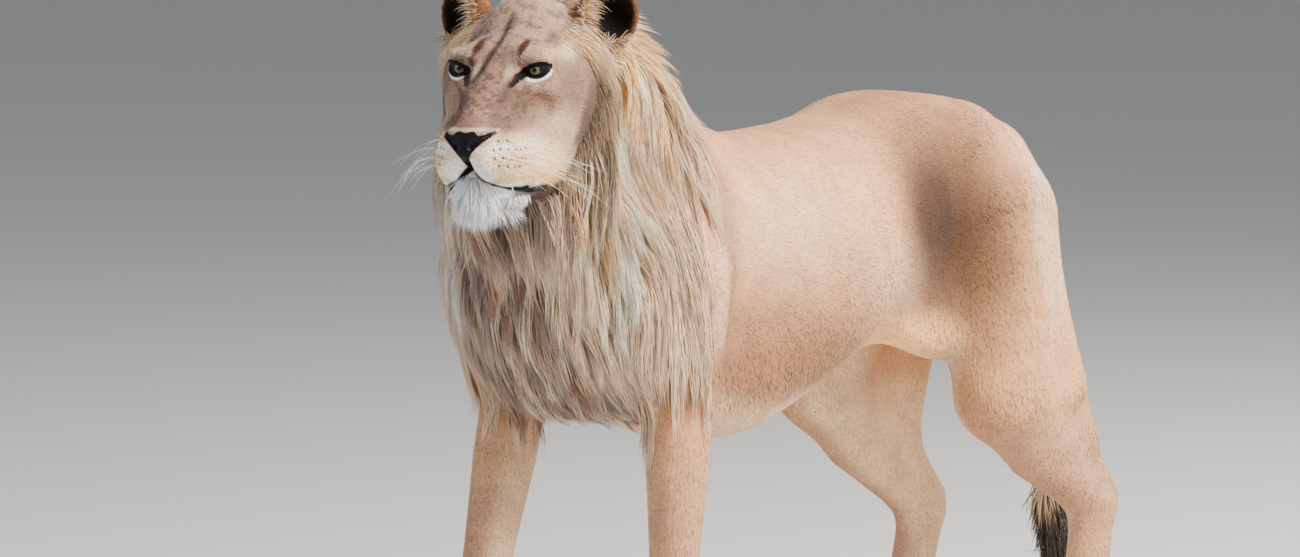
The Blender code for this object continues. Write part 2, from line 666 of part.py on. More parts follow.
def main():
    for obj in list(bpy.data.objects):
        bpy.data.objects.remove(obj, do_unlink=True)
    clay = Clay((-0.30, -0.76, -0.03), (0.36, 1.42, 1.37), CELL)
    add_trunk(clay)
    for side, s in SIDES.items():
        add_foreleg(clay, s, FORELEGS[side])
        add_hindleg(clay, s, HINDLEGS[side])
    add_mane(clay)
    add_head(clay)
    add_tail(clay)
    clay.soften()
    # The soles are cut flat at floor level
    clay.value = np.maximum(clay.value, -clay.axes[2][None, None, :] + 0.0005)
    lion = clay.surface("lion")
    thin_out(lion, TRIANGLES)
    pieces = part(lion)
    for piece in head_pieces(pieces["head"]):
        pieces[piece.name] = piece
    for name, piece in pieces.items():
        piece.data.name = name
        if name.startswith("eye_"):
            paint(piece, *EYEBALL)
        elif name == "nose":
            paint(piece, *NOSE)
        elif name in ("neck", "tail_tuft"):
            paint(piece, *MANE)
        else:
            paint(piece, *COAT)
    centre_on_floor(pieces.values())


def centre_on_floor(pieces):
    """Moves everything so the origin is on the floor, under the middle of the lion."""
    points = [v.co for obj in pieces for v in obj.data.vertices]
    low = [min(p[i] for p in points) for i in range(3)]
    high = [max(p[i] for p in points) for i in range(3)]
    shift = Vector((-(low[0] + high[0]) / 2, -(low[1] + high[1]) / 2, -low[2]))
    for obj in pieces:
        obj.data.transform(Matrix.Translation(shift))


main()
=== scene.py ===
# A standing young male lion: one skin over the whole body, its coat, mane and whiskers in solid tufts, and its eyes.
# Metres, Z up; places marked mm are in millimetres. The lion faces -Y and its left side is +X. Forms are laid down
# with the withers near y = 0, as the body was, and moved to the frame at the end.
import itertools
import math

import bmesh
import bpy
import numpy as np
from mathutils import Euler, Matrix, Vector


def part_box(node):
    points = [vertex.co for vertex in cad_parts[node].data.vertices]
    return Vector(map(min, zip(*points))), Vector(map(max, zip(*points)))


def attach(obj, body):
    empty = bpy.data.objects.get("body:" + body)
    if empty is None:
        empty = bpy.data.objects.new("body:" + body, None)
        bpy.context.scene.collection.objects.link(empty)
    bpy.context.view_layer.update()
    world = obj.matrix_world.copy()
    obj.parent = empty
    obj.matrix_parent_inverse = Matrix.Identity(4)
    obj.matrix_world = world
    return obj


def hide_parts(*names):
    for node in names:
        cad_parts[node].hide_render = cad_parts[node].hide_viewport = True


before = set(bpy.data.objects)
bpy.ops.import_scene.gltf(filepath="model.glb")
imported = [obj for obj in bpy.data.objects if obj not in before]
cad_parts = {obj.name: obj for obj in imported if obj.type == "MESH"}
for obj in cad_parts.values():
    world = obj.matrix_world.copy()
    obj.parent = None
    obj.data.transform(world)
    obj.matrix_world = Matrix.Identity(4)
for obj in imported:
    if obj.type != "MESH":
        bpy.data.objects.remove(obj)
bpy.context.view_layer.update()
bpy.ops.object.select_all(action="DESELECT")

head = {
    "eyeLevel": (0.15, -0.53, 1.185),  # midway between the eyes
    "turn": 16.5,  # degrees to its left
    "eye": (0.0625, 0.012, 0),  # left eyeball's centre, in the head's own frame
    "eyeRadius": 0.0195,
    "ear": {"root": (0.11, 0.17, 0.053), "lean": 26, "turn": 30, "width": 0.054, "height": 0.06},
}
toBody = Matrix.Translation(head["eyeLevel"]) @ Matrix.Rotation(math.radians(head["turn"]), 4, "Z")
sides = {"left": 1, "right": -1}


def eyeMiddle(name):
    low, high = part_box(name)
    return (low + high) / 2


shift = (eyeMiddle("eye_left") + eyeMiddle("eye_right")) / 2 - toBody @ Vector((0, head["eye"][1], 0))

foreLegs = {
    "left": {"elbow": (0.15, -0.045, 0.61), "wrist": (0.146, -0.06, 0.262), "knuckle": (0.148, -0.088, 0.08)},
    "right": {"elbow": (-0.152, -0.085, 0.615), "wrist": (-0.146, -0.195, 0.268), "knuckle": (-0.148, -0.23, 0.08)},
}
hindLegs = {
    "left": {
        "hip": (0.095, 0.95, 0.87), "knee": (0.15, 0.885, 0.56),
        "hock": (0.132, 1.2, 0.335), "knuckle": (0.138, 1.145, 0.075),
    },
    "right": {
        "hip": (-0.095, 0.93, 0.87), "knee": (-0.148, 0.77, 0.575),
        "hock": (-0.13, 1.06, 0.325), "knuckle": (-0.136, 0.99, 0.075),
    },
}


# Small number helpers

def ramp(value, low, high):
    share = np.clip((value - low) / (high - low), 0, 1)
    return share * share * (3 - 2 * share)


def fall(value, low, high):
    return ramp(-value, -high, -low)


def unit(vectors):
    return vectors / np.maximum(np.linalg.norm(vectors, axis=-1, keepdims=True), 1e-9)


def turned(vectors, matrix):
    return vectors @ np.array(matrix)[:3, :3].T


def moved(points, matrix):
    return turned(points, matrix) + np.array(matrix)[:3, 3]


def inHead(points):
    return moved(points, toBody.inverted())


def mm(values):
    return tuple(value / 1000 for value in values)


def alongTangent(direction, normals):
    return unit(direction - normals * np.sum(direction * normals, axis=1, keepdims=True))


def lineGap(points, line):
    # distance to a line of places
    gap = np.full(len(points), np.inf)
    for start, end in zip(line[:-1], line[1:]):
        start, along = np.array(start), np.array(end) - np.array(start)
        share = np.clip((points - start) @ along / (along @ along), 0, 1)
        gap = np.minimum(gap, np.linalg.norm(points - start - share[:, None] * along, axis=1))
    return gap


# Clay: distances to the surface, on a grid or at any point, negative inside

cubeCorners = list(itertools.product((0, 1), repeat=3))
clayMargin = 0.03


class Clay:
    def __init__(self, low, high, cell):
        self.low, self.cell, self.forms = np.array(low), cell, []
        self.axes = [np.arange(a, b, cell, dtype=np.float32) for a, b in zip(low, high)]
        self.value = np.full([len(a) for a in self.axes], 1.0, np.float32)

    @staticmethod
    def melted(old, new, blend, hollow):
        new = -new if hollow else new
        meeting = np.maximum(blend - np.abs(old - new), 0) ** 2 / blend / 4
        return np.maximum(old, new) + meeting if hollow else np.minimum(old, new) - meeting

    def add(self, form, blend, hollow=False):
        distance, low, high = form
        low, high = low - (blend + clayMargin), high + (blend + clayMargin)
        first, last = (((place - self.low) / self.cell).astype(int) for place in (low, high))
        block = tuple(slice(max(a, 0), max(b + 2, 1)) for a, b in zip(first, last))
        new = distance(*np.ix_(*(axis[part] for axis, part in zip(self.axes, block))))
        self.value[block] = self.melted(self.value[block], new, blend, hollow)
        self.forms.append((distance, low, high, blend, hollow))

    def at(self, points):
        value = np.full(len(points), 1.0)
        for distance, low, high, blend, hollow in self.forms:
            near = np.nonzero(((points > low) & (points < high)).all(axis=1))[0]
            if len(near):
                value[near] = self.melted(value[near], distance(*points[near].T), blend, hollow)
        return value

    def soften(self):
        for axis in range(3):
            ahead, behind = np.roll(self.value, -1, axis), np.roll(self.value, 1, axis)
            self.value = (ahead + 2 * self.value + behind) / 4

    def sample(self, points):
        # value and outward slope between the grid's points
        place = np.clip((points - self.low) / self.cell, 0.001, np.array(self.value.shape) - 1.001)
        first = place.astype(int)
        share = place - first
        total, slope = 0.0, np.zeros((len(points), 3))
        for corner in cubeCorners:
            value = self.value[tuple((first + corner).T)]
            weight = np.where(corner, share, 1 - share).T
            total = total + weight[0] * weight[1] * weight[2] * value
            for i in range(3):
                slope[:, i] += (2 * corner[i] - 1) * weight[i - 2] * weight[i - 1] * value
        return total, unit(slope)


def lump(centre, radii, turn=(0, 0, 0), place=Matrix()):
    spin = Euler([math.radians(a) for a in turn]).to_matrix().to_4x4()
    place = place @ Matrix.Translation(centre) @ spin
    back = np.array(place.inverted())
    rx, ry, rz = radii

    def distance(x, y, z):
        u, v, w = (back[i, 0] * x + back[i, 1] * y + back[i, 2] * z + back[i, 3] for i in range(3))
        near = np.sqrt((u / rx) ** 2 + (v / ry) ** 2 + (w / rz) ** 2)
        steep = np.sqrt((u / rx**2) ** 2 + (v / ry**2) ** 2 + (w / rz**2) ** 2)
        return near * (near - 1) / np.maximum(steep, 1e-6)

    middle, reach = np.array(place.translation), np.linalg.norm(np.array(place)[:3, :3] * radii, axis=1)
    return distance, middle - reach, middle + reach


def shaft(start, end, widths, depths, place):
    a, b = place @ Vector(start), place @ Vector(end)
    along = b - a
    length = along.length
    along.normalize()
    front = along.cross(place.to_3x3() @ Vector((1, 0, 0))).normalized()
    side = front.cross(along).normalized()

    def distance(x, y, z):
        px, py, pz = x - a.x, y - a.y, z - a.z
        t, u, v = (px * way.x + py * way.y + pz * way.z for way in (along, side, front))
        share = np.clip(t / length, 0, 1)
        width = widths[0] + (widths[1] - widths[0]) * share
        depth = depths[0] + (depths[1] - depths[0]) * share
        thin = np.minimum(width, depth)
        near = np.sqrt((u / width) ** 2 + (v / depth) ** 2 + ((t - share * length) / thin) ** 2)
        return (near - 1) * thin

    ends, big = np.array((a, b)), max(*widths, *depths)
    return distance, ends.min(axis=0) - big, ends.max(axis=0) + big


def limb(clay, joints, widths, depths=None, blend=0.02, place=Matrix(), hollow=False):
    depths = depths or widths
    pairs = [slice(i, i + 2) for i in range(len(joints) - 1)]
    distances, lows, highs = zip(*(shaft(*joints[p], widths[p], depths[p], place) for p in pairs))

    def distance(x, y, z):
        return np.minimum.reduce([part(x, y, z) for part in distances])

    clay.add((distance, np.min(lows, axis=0), np.max(highs, axis=0)), blend, hollow)


def pair(clay, centre, radii, turn=(0, 0, 0), blend=0.02, place=Matrix(), hollow=False):
    for s in sides.values():
        turns = (turn[0], s * turn[1], s * turn[2])
        clay.add(lump((s * centre[0], *centre[1:]), radii, turns, place), blend, hollow)


# y, top, bottom and half width in mm, and the widest place's share of the height in thousandths
trunkStations = np.array([
    (-300, 960, 800, 70, 500), (-240, 1010, 690, 125, 500), (-140, 1040, 615, 160, 500), (-20, 1060, 575, 160, 520),
    (100, 1052, 555, 166, 500), (240, 1042, 550, 194, 460), (360, 1042, 572, 205, 440), (480, 1048, 608, 195, 440),
    (580, 1062, 636, 178, 460), (670, 1072, 655, 160, 500), (760, 1075, 675, 150, 550), (860, 1073, 695, 150, 580),
    (950, 1060, 720, 146, 580), (1020, 1016, 750, 118, 550), (1070, 955, 790, 80, 500),
]) / 1000


def trunkDistance(x, y, z):
    places, *values = trunkStations.T
    top, bottom, half, waist = (np.interp(y, places, value) for value in values)
    middle = bottom + (top - bottom) * waist
    rise = np.where(z > middle, top - middle, middle - bottom)
    near = np.sqrt((np.abs(x) / half) ** 2.3 + (np.abs(z - middle) / rise) ** 2.0)
    beyond = np.maximum(np.maximum(places[0] - y, y - places[-1]), 0)
    return (near - 1) * np.minimum(half, rise) + beyond


def addTrunk(clay):
    clay.add((trunkDistance, np.array((-0.22, -0.34, 0.5)), np.array((0.22, 1.14, 1.09))), 0.03)
    pair(clay, (0.045, 0.73, 1.006), (0.07, 0.14, 0.064), blend=0.05)  # loin
    pair(clay, (0.09, 0.83, 0.985), (0.05, 0.07, 0.06), blend=0.06)  # point of the hip
    pair(clay, (0.07, 1.0, 0.88), (0.068, 0.084, 0.128), blend=0.05)  # buttock
    clay.add(lump((0, 0.02, 1.01), (0.08, 0.2, 0.058)), 0.06)  # withers
    clay.add(lump((0, 0.22, 0.645), (0.12, 0.2, 0.105)), 0.08)  # belly
    pair(clay, (0.105, 0.7, 0.705), (0.045, 0.14, 0.07), (-25, 0, 0), 0.06)  # flank
    clay.add(lump((0, 1.06, 0.745), (0.042, 0.046, 0.056)), 0.02)  # scrotum


def addForeLeg(clay, s, leg):
    elbow, wrist, knuckle = map(Vector, leg.values())
    clay.add(lump((s * 0.112, -0.05, 0.905), (0.074, 0.12, 0.155), (14, s * -10, 0)), 0.06)
    point = Vector((s * 0.14, -0.175, 0.815))  # of the shoulder
    limb(clay, [point, elbow + Vector((0, -0.02, 0.05))], [0.066, 0.062], [0.076, 0.08], 0.06)
    rear = Vector((s * 0.138, 0.015, 0.82))
    limb(clay, [rear, elbow + Vector((0, 0.04, 0.02))], [0.055, 0.044], [0.07, 0.042], 0.05)
    clay.add(lump((s * 0.152, -0.045, 0.79), (0.063, 0.104, 0.185), (0, s * -4, 0)), 0.02)
    joints = [elbow, elbow.lerp(wrist, 0.28), elbow.lerp(wrist, 0.75), wrist, knuckle]
    limb(clay, joints, [0.057, 0.055, 0.045, 0.048, 0.052], [0.07, 0.066, 0.049, 0.05, 0.048])
    clay.add(lump(wrist + Vector((0, 0.04, -0.012)), (0.02, 0.018, 0.022)), 0.015)
    addPaw(clay, knuckle, 0.07, 0.098)


def addHindLeg(clay, s, leg):
    hip, knee, hock, knuckle = map(Vector, leg.values())
    seat = Vector((s * 0.08, 0.99, 0.84))
    limb(clay, [hip, knee], [0.085, 0.068], [0.135, 0.09], 0.05)
    limb(clay, [hip + Vector((s * 0.015, -0.08, 0)), knee], [0.075, 0.066], [0.09, 0.075], 0.05)
    calf = knee.lerp(hock, 0.3) + Vector((0, 0.07, 0.06))
    limb(clay, [seat, calf], [0.07, 0.052], [0.088, 0.074], 0.06)
    cord = knee.lerp(hock, 0.62) + Vector((0, 0.06, 0.045))
    limb(clay, [seat + Vector((0, 0.01, 0.02)), cord], [0.056, 0.036], [0.06, 0.038], 0.05)
    joints = [knee, knee.lerp(hock, 0.38), knee.lerp(hock, 0.78), hock]
    limb(clay, joints, [0.064, 0.058, 0.042, 0.039], [0.084, 0.086, 0.052, 0.048], 0.04)
    tendon = knee.lerp(hock, 0.5) + Vector((0, 0.065, 0.035))
    limb(clay, [tendon, hock + Vector((0, 0.038, 0.026))], [0.032, 0.026], [0.036, 0.028], 0.03)
    limb(clay, [hock, hock.lerp(knuckle, 0.5), knuckle], [0.042, 0.04, 0.048], [0.052, 0.043, 0.044])
    addPaw(clay, knuckle, 0.064, 0.092)


def addPaw(clay, knuckle, width, length):
    x, y = knuckle.x, knuckle.y
    clay.add(lump((x, y - 0.01, 0.04), (width * 0.95, length * 0.66, 0.048)), 0.02)
    for across, back, size in ((-0.72, 0.018, 0.92), (-0.25, -0.01, 1), (0.25, -0.01, 1), (0.72, 0.018, 0.92)):  # toes
        centre = (x + across * width, y - length * 0.68 + back, 0.03 * size)
        clay.add(lump(centre, (0.0225 * size, 0.045 * size, 0.037 * size), (0, 0, across * 9)), 0.012)


def earPlace(s):
    ear = head["ear"]
    lean = Matrix.Rotation(math.radians(s * ear["lean"]), 4, "Y")
    turn = Matrix.Rotation(math.radians(s * ear["turn"]), 4, "Z")
    return toBody @ Matrix.Translation((s * ear["root"][0], *ear["root"][1:])) @ turn @ lean


earPlaces = {s: earPlace(s) for s in (1, -1)}

# y and z of the mouth's line and x, y and z of the nostril's comma, from the middle outwards, mm
mouthLine = [mm(p) for p in ((-143, -145.5), (-131, -168), (-112, -178), (-78, -185), (-40, -180))]
nostrilLine = [mm(p) for p in ((12, -154, -112), (20, -152, -103), (30, -143, -97), (37, -134, -93.5))]


def onSurface(clay, y, z, s):
    # the point of the surface at that place in the head's frame, coming in from the side
    x = np.arange(0.13, -0.001, -0.0005)
    local = np.stack([s * x, np.full(len(x), y), np.full(len(x), z)], axis=1)
    points = moved(local, toBody)
    value = clay.at(points) + coatDepth(points)
    hit = np.argmax(value < 0) if (value < 0).any() else len(x) - 1
    return Vector(local[hit])


def mouthPoints(clay, s):
    return [Vector((0, *mouthLine[0]))] + [onSurface(clay, y, z, s) for y, z in mouthLine[1:]]


def addHead(clay, fine):
    # forms in the head's own frame, -Y out of the face, mm; the fine ones are only for the skin
    def one(centre, radii, turn=(0, 0, 0), blend=20, hollow=False):
        clay.add(lump(mm(centre), mm(radii), turn, toBody), blend / 1000, hollow)

    def two(centre, radii, turn=(0, 0, 0), blend=20, hollow=False):
        pair(clay, mm(centre), mm(radii), turn, blend / 1000, toBody, hollow)

    one((0, 150, 12), (98, 105, 100), blend=30)  # cranium
    one((0, 56, 2), (74, 88, 50), (34, 0, 0), 30)  # forehead
    two((48, 22, 18), (38, 36, 20), (20, 12, -14))  # brow
    bridge = [mm(p) for p in ((0, 10, -18), (0, -60, -66), (0, -112, -100))]
    limb(clay, bridge, [0.042, 0.042, 0.036], [0.034, 0.034, 0.032], 0.03, toBody)
    two((46, -12, -58), (31, 56, 40), (35, 0, -8), 30)  # upper jaw
    two((67, 46, -32), (31, 50, 24), (0, 14, -22))  # cheekbone
    two((86, 118, -45), (47, 68, 88), (0, 0, -6), 40)  # jaw muscle
    two((35, -90, -130), (32, 48, 41), (0, -6, -14), 12)  # whisker pad
    two((45, -44, -118), (32, 62, 52), (0, 0, -12), 30)
    one((0, -124, -104), (36, 32, 22), (38, 0, 0), 12)  # nose
    two((28, -114, -102), (14, 26, 16), (30, 0, -14), 10)
    if fine:
        one((0, -78, -176), (43, 44, 31), blend=22)  # chin
        two((40, -36, -172), (30, 52, 28), (0, 0, -14), 25)
    else:
        one((0, -76, -184), (46, 46, 42), blend=12)
    two((46, -4, -160), (34, 86, 46), (0, 0, -16))  # lower jaw
    two((62, 30, -110), (38, 70, 70), (0, 0, -16), 40)
    one((0, 50, -130), (90, 85, 70), blend=40)  # throat
    w, h = head["ear"]["width"], head["ear"]["height"]
    for s in sides.values():
        clay.add(lump((0, 0, h * 0.35), (w, 0.04, h), place=earPlaces[s]), 0.02)
        clay.add(lump((0, -0.036, h * 0.46), (w * 0.74, 0.046, h * 0.74), place=earPlaces[s]), 0.01, True)
    two((64, -22, 1), (22, 26, 14), blend=12, hollow=True)  # eye socket
    if not fine:
        return
    x, y, z = (place * 1000 for place in head["eye"])
    lid = head["eyeRadius"] * 1000 + 5.2
    two((x, y, z), (lid, lid, lid), blend=10)  # lids over the eyeball
    two((x - 2, y - 4, z + 20.5), (26, 15, 8.5), (24, -12, -10), 14)  # upper lid's hood
    one((0, -134, -112), (26, 22, 22), (20, 0, 0), 12)  # nose tip
    two((26, -132, -98), (16.5, 18, 11), (20, 14, -24), 8)  # nostril's wing
    two((43, -82, -144), (27, 44, 36), (0, 0, -12), 14)  # the pad hangs over the lip
    two((25, -112, -136), (23, 33, 31), (0, 0, -8), 10)  # front of the pad
    two((74, -30, -58), (22, 46, 22), (0, 0, -10), 20, True)  # hollow under the eye
    one((0, -152, -173.5), (20.5, 33, 24.5), blend=6, hollow=True)  # the lips part over the chin
    for s in sides.values():
        limb(clay, mouthPoints(clay, s), [0.0038, 0.0038, 0.0036, 0.004, 0.0026], None, 0.008, toBody, True)
        comma = [(s * x, y, z) for x, y, z in nostrilLine]
        limb(clay, comma, [0.0036, 0.0044, 0.0034, 0.002], None, 0.004, toBody, True)
    limb(clay, [(0, -0.164, -0.122), (0, -0.144, -0.152)], [0.0018, 0.0036], None, 0.005, toBody, True)  # cleft


# x, y, z and radius of the tail, mm
tailJoints = np.array([
    (0, 1060, 965, 46), (0, 1130, 930, 36), (2, 1168, 870, 30), (4, 1185, 780, 26), (6, 1192, 670, 23),
    (6, 1205, 560, 21), (2, 1228, 460, 20), (-6, 1258, 375, 20), (-12, 1284, 320, 18), (-20, 1308, 265, 14),
    (-30, 1326, 222, 10),
]) / 1000


def addNeck(clay):
    # flesh only: slimmer than the mane that lies over it
    joints = [(0.096, -0.27, 1.15), (0.05, -0.12, 1.06), (0.01, 0.03, 0.955)]
    limb(clay, joints, [0.098, 0.112, 0.12], [0.112, 0.118, 0.112], 0.06)
    clay.add(lump((0.07, -0.29, 1.03), (0.085, 0.085, 0.11)), 0.06)  # throat
    clay.add(lump((0.012, -0.205, 0.85), (0.148, 0.115, 0.15)), 0.06)  # breast
    clay.add(lump((0, -0.15, 0.725), (0.112, 0.11, 0.11)), 0.06)


def addMane(clay):
    # out to the tips of the mane, from the cheeks to the chest and withers
    clay.add(lump((0, 0.155, -0.025), (0.16, 0.1, 0.14), place=toBody), 0.03)
    clay.add(lump((0, 0.125, -0.14), (0.154, 0.11, 0.112), place=toBody), 0.04)
    joints = [(0.11, -0.25, 1.165), (0.05, -0.115, 1.085), (0.01, 0.035, 0.965)]
    limb(clay, joints, [0.14, 0.15, 0.136], [0.14, 0.136, 0.112], 0.07)
    clay.add(lump((0.078, -0.365, 0.97), (0.15, 0.125, 0.15)), 0.08)
    clay.add(lump((0.035, -0.255, 0.86), (0.186, 0.15, 0.18)), 0.08)
    clay.add(lump((0, -0.19, 0.75), (0.145, 0.12, 0.145)), 0.08)
    clay.add(lump((0, -0.11, 0.675), (0.095, 0.13, 0.072)), 0.06)


def wholeLion(cell, maned):
    clay = Clay((-0.3, -0.76, -0.03), (0.36, 1.42, 1.37), cell)
    addTrunk(clay)
    for side, s in sides.items():
        addForeLeg(clay, s, foreLegs[side])
        addHindLeg(clay, s, hindLegs[side])
    (addMane if maned else addNeck)(clay)
    addHead(clay, fine=not maned)
    limb(clay, tailJoints[:, :3].tolist(), tailJoints[:, 3].tolist(), None, 0.015)
    clay.soften()
    return clay


# How far the skin lies under the coat's tips
coat = {"body": 0.0075, "face": 0.003, "foot": 0.0035, "tail": 0.0045, "eye": 0.0012}


def coatDepth(points):
    x, y, z = points.T
    local = inHead(points)
    u, v, w = local.T
    depth = np.full(len(points), coat["body"])
    depth += (coat["foot"] - depth) * fall(z, 0.12, 0.45)
    depth += (coat["tail"] - depth) * ramp(y, 1.1, 1.16) * ramp(z, 0.3, 0.5)
    face = fall(v, 0.16, 0.26) * ramp(w, -0.3, -0.22)
    depth += (coat["face"] - depth) * face
    away = np.minimum(*(np.linalg.norm(local - (s * 0.0625, 0, 0), axis=1) for s in (1, -1)))
    bare = np.maximum(fall(away, 0.028, 0.045), fall(v, -0.14, -0.118) * ramp(w, -0.16, -0.14))
    return depth + (coat["eye"] - depth) * bare * face


def measure(clay, points, depth, reach=0.0006):
    # distance below the coat's depth, and its slope, from four points of a tetrahedron
    total, slope = 0.0, np.zeros_like(points)
    for corner in ((1, -1, -1), (-1, -1, 1), (-1, 1, -1), (1, 1, 1)):
        corner = np.array(corner, float)
        there = points + corner * reach
        value = clay.at(there) + depth(there)
        total = total + value / 4
        slope += corner * value[:, None] / (4 * reach)
    return total, slope


print("Stage: clay")
flesh = wholeLion(0.006, maned=False)
hull = wholeLion(0.012, maned=True)


# The skin: a net of one point in each cell the surface crosses, coarser over the body, finer on the face

def surfaceNet(clay, depthGrid):
    value = clay.value + depthGrid
    inside = value < 0
    shape = [n - 1 for n in inside.shape]
    filled = np.zeros(shape, np.uint8)
    for corner in cubeCorners:
        filled += inside[tuple(slice(a, a + n) for a, n in zip(corner, shape))]
    cells = np.argwhere((filled > 0) & (filled < 8))
    corner = {c: value[tuple((cells + c).T)] for c in cubeCorners}
    total, crossings = np.zeros((len(cells), 3)), np.zeros(len(cells))
    for a in cubeCorners:
        for axis in range(3):
            if a[axis]:
                continue
            b = tuple(1 if i == axis else a[i] for i in range(3))
            crossed = (corner[a] < 0) != (corner[b] < 0)
            point = np.tile(np.array(a, float), (len(cells), 1))
            point[:, axis] = corner[a] / np.where(crossed, corner[a] - corner[b], 1)
            total += np.where(crossed[:, None], point, 0)
            crossings += crossed
    points = clay.low + (cells + total / crossings[:, None]) * clay.cell
    number = np.full(shape, -1, np.int32)
    number[tuple(cells.T)] = np.arange(len(cells))
    quads = []
    for axis in range(3):
        one, two = (np.eye(3, dtype=int)[(axis + i) % 3] for i in (1, 2))
        a, b = (inside[tuple(ends if i == axis else slice(1, -1) for i in range(3))]
                for ends in (slice(0, -1), slice(1, None)))
        for leaving in (True, False):
            edge = np.argwhere((a & ~b) if leaving else (~a & b)) + one + two
            ring = [edge, edge - one, edge - one - two, edge - two][:: 1 if leaving else -1]
            quads.append(np.stack([number[tuple(c.T)] for c in ring], axis=1))
    return points, np.concatenate(quads), cells


def merged(points, quads, cells):
    # two cells in each direction become one over the body; the head, its ears and the paws keep every cell
    local = inHead(points)
    fine = ((local[:, 1] < 0.245) & (local[:, 2] > -0.25)) | (points[:, 2] < 0.12)
    _, group = np.unique(np.where(fine[:, None], cells * 2 + 1, cells // 2 * 4), axis=0, return_inverse=True)
    group = group.ravel()
    count = np.bincount(group)
    points = np.stack([np.bincount(group, points[:, i]) / count for i in range(3)], axis=1)
    faces = [[v for i, v in enumerate(quad) if v != quad[i - 1]] for quad in group[quads].tolist()]
    return points, [face for face in faces if len(face) > 2 and len(set(face)) == len(face)]


def gridDepth(clay):
    # the coat's depth on a grid four times as coarse, spread over the fine one
    few = [axis[::4] for axis in clay.axes]
    mesh = np.stack(np.meshgrid(*few, indexing="ij"), axis=-1).reshape(-1, 3)
    depth = coatDepth(mesh).astype(np.float32).reshape([len(a) for a in few])
    for axis in range(3):
        depth = np.repeat(depth, 4, axis=axis)
    return depth[tuple(slice(n) for n in clay.value.shape)]


def settle(points, rounds):
    for _ in range(rounds):
        value, slope = measure(flesh, points, coatDepth)
        points = points - slope * (value / np.maximum(np.sum(slope**2, axis=1), 0.2))[:, None]
    return points


def readAll(items, name, width, kind=float):
    flat = np.empty(len(items) * width, kind)
    items.foreach_get(name, flat)
    return flat.reshape(-1, width)


def setCoordinates(mesh, points):
    mesh.vertices.foreach_set("co", points.ravel())
    mesh.update()


def settleMesh(mesh, rounds):
    setCoordinates(mesh, settle(readAll(mesh.vertices, "co", 3), rounds))


def relax(mesh, share, rounds):
    # evens out the net without leaving the surface
    points = readAll(mesh.vertices, "co", 3)
    a, b = readAll(mesh.edges, "vertices", 2, int).T
    count = np.bincount(a, minlength=len(points)) + np.bincount(b, minlength=len(points))
    for _ in range(rounds):
        beside = [
            np.bincount(a, points[b, i], len(points)) + np.bincount(b, points[a, i], len(points)) for i in range(3)
        ]
        points = points + (np.stack(beside, axis=1) / count[:, None] - points) * share
    setCoordinates(mesh, settle(points, 1))


def edited(mesh, change):
    bm = bmesh.new()
    bm.from_mesh(mesh)
    change(bm)
    bm.to_mesh(mesh)
    bm.free()


def closeHoles(bm):
    bmesh.ops.holes_fill(bm, edges=[edge for edge in bm.edges if edge.is_boundary], sides=12)


def subdivideFace(mesh, wanted):
    # wanted looks at the faces' centres in the head's frame, as if both were on its left
    x, y, z = inHead(readAll(mesh.polygons, "center", 3)).T
    faces = np.nonzero(wanted(np.abs(x), y, z))[0]

    def split(bm):
        bm.faces.ensure_lookup_table()
        edges = {edge for i in faces for edge in bm.faces[i].edges}
        bmesh.ops.subdivide_edges(bm, edges=list(edges), cuts=1, use_grid_fill=True)

    edited(mesh, split)


def eyeAxes(s):
    # centre and the lateral, upward and outward axes of an eye's opening, in the head's frame
    turn, tilt = math.radians(12), math.radians(15)
    out = Vector((s * math.sin(turn), -math.cos(turn), 0.03)).normalized()
    up = (Vector((0, 0, 1)) - out * out.z).normalized()
    across = up.cross(out) * s
    lateral = across * math.cos(tilt) + up * math.sin(tilt)
    up = up * math.cos(tilt) - across * math.sin(tilt)
    return [np.array(v) for v in ((s * head["eye"][0], *head["eye"][1:]), lateral, up, out)]


opening = {"half": 0.019, "upper": 0.0066, "lower": 0.0096, "outward": 0.0015, "raise": -0.0008,
           "upperPower": 2.6, "lowerPower": 2.0}


def openingEdge(u, v):
    # distance in the eye's own plane to the edge of its almond opening, negative inside
    u, v = u - opening["outward"], v - opening["raise"]
    half = opening["half"]
    share = np.minimum(np.abs(u) / half, 1)
    height = np.where(v > 0, opening["upper"], opening["lower"])
    power = np.where(v > 0, opening["upperPower"], opening["lowerPower"])
    steep = height * power * share ** (power - 1) / half
    within = (np.abs(v) - height * (1 - share**power)) / np.sqrt(1 + steep**2)
    return np.where(np.abs(u) < half, within, np.hypot(np.abs(u) - half, v))


def openEyes(local):
    # skin inside the opening goes in under the eyeball, and the lids stand just clear of it
    radius = head["eyeRadius"]
    for s in sides.values():
        centre, lateral, up, out = eyeAxes(s)
        arm = local - centre
        reach = np.linalg.norm(arm, axis=1)
        near = (reach < radius + 0.02) & (arm @ out > 0.2 * radius)
        edge = openingEdge(arm @ lateral, arm @ up)
        within = ramp(-edge, -0.0002, 0.0012)
        lid = np.maximum(reach, radius + 0.0016)
        target = lid + (radius - 0.0022 - lid) * within
        # the lid thins towards its own edge
        target = target + (radius + 0.0018 - target) * fall(edge, 0.0005, 0.005) * (1 - within)
        local = np.where(near[:, None], centre + arm * (target / np.maximum(reach, 1e-6))[:, None], local)
    return local


# folds from the nose to the eye, under and over it and up the brow: start, end, width and depth, mm
folds = [
    ((36, -118, -78), (52, -35, -52), 5, 1.6), ((52, -35, -52), (78, -8, -85), 7, 1.4),
    ((30, -75, -60), (40, -22, -24), 5, 1.2), ((48, -6, -27.5), (88, 10, -18), 4, 1.2),
    ((52, -4, 20.5), (86, 10, 16.5), 3.2, 1.2), ((10, -6, 30), (12, 55, 85), 6, 2.2),
]


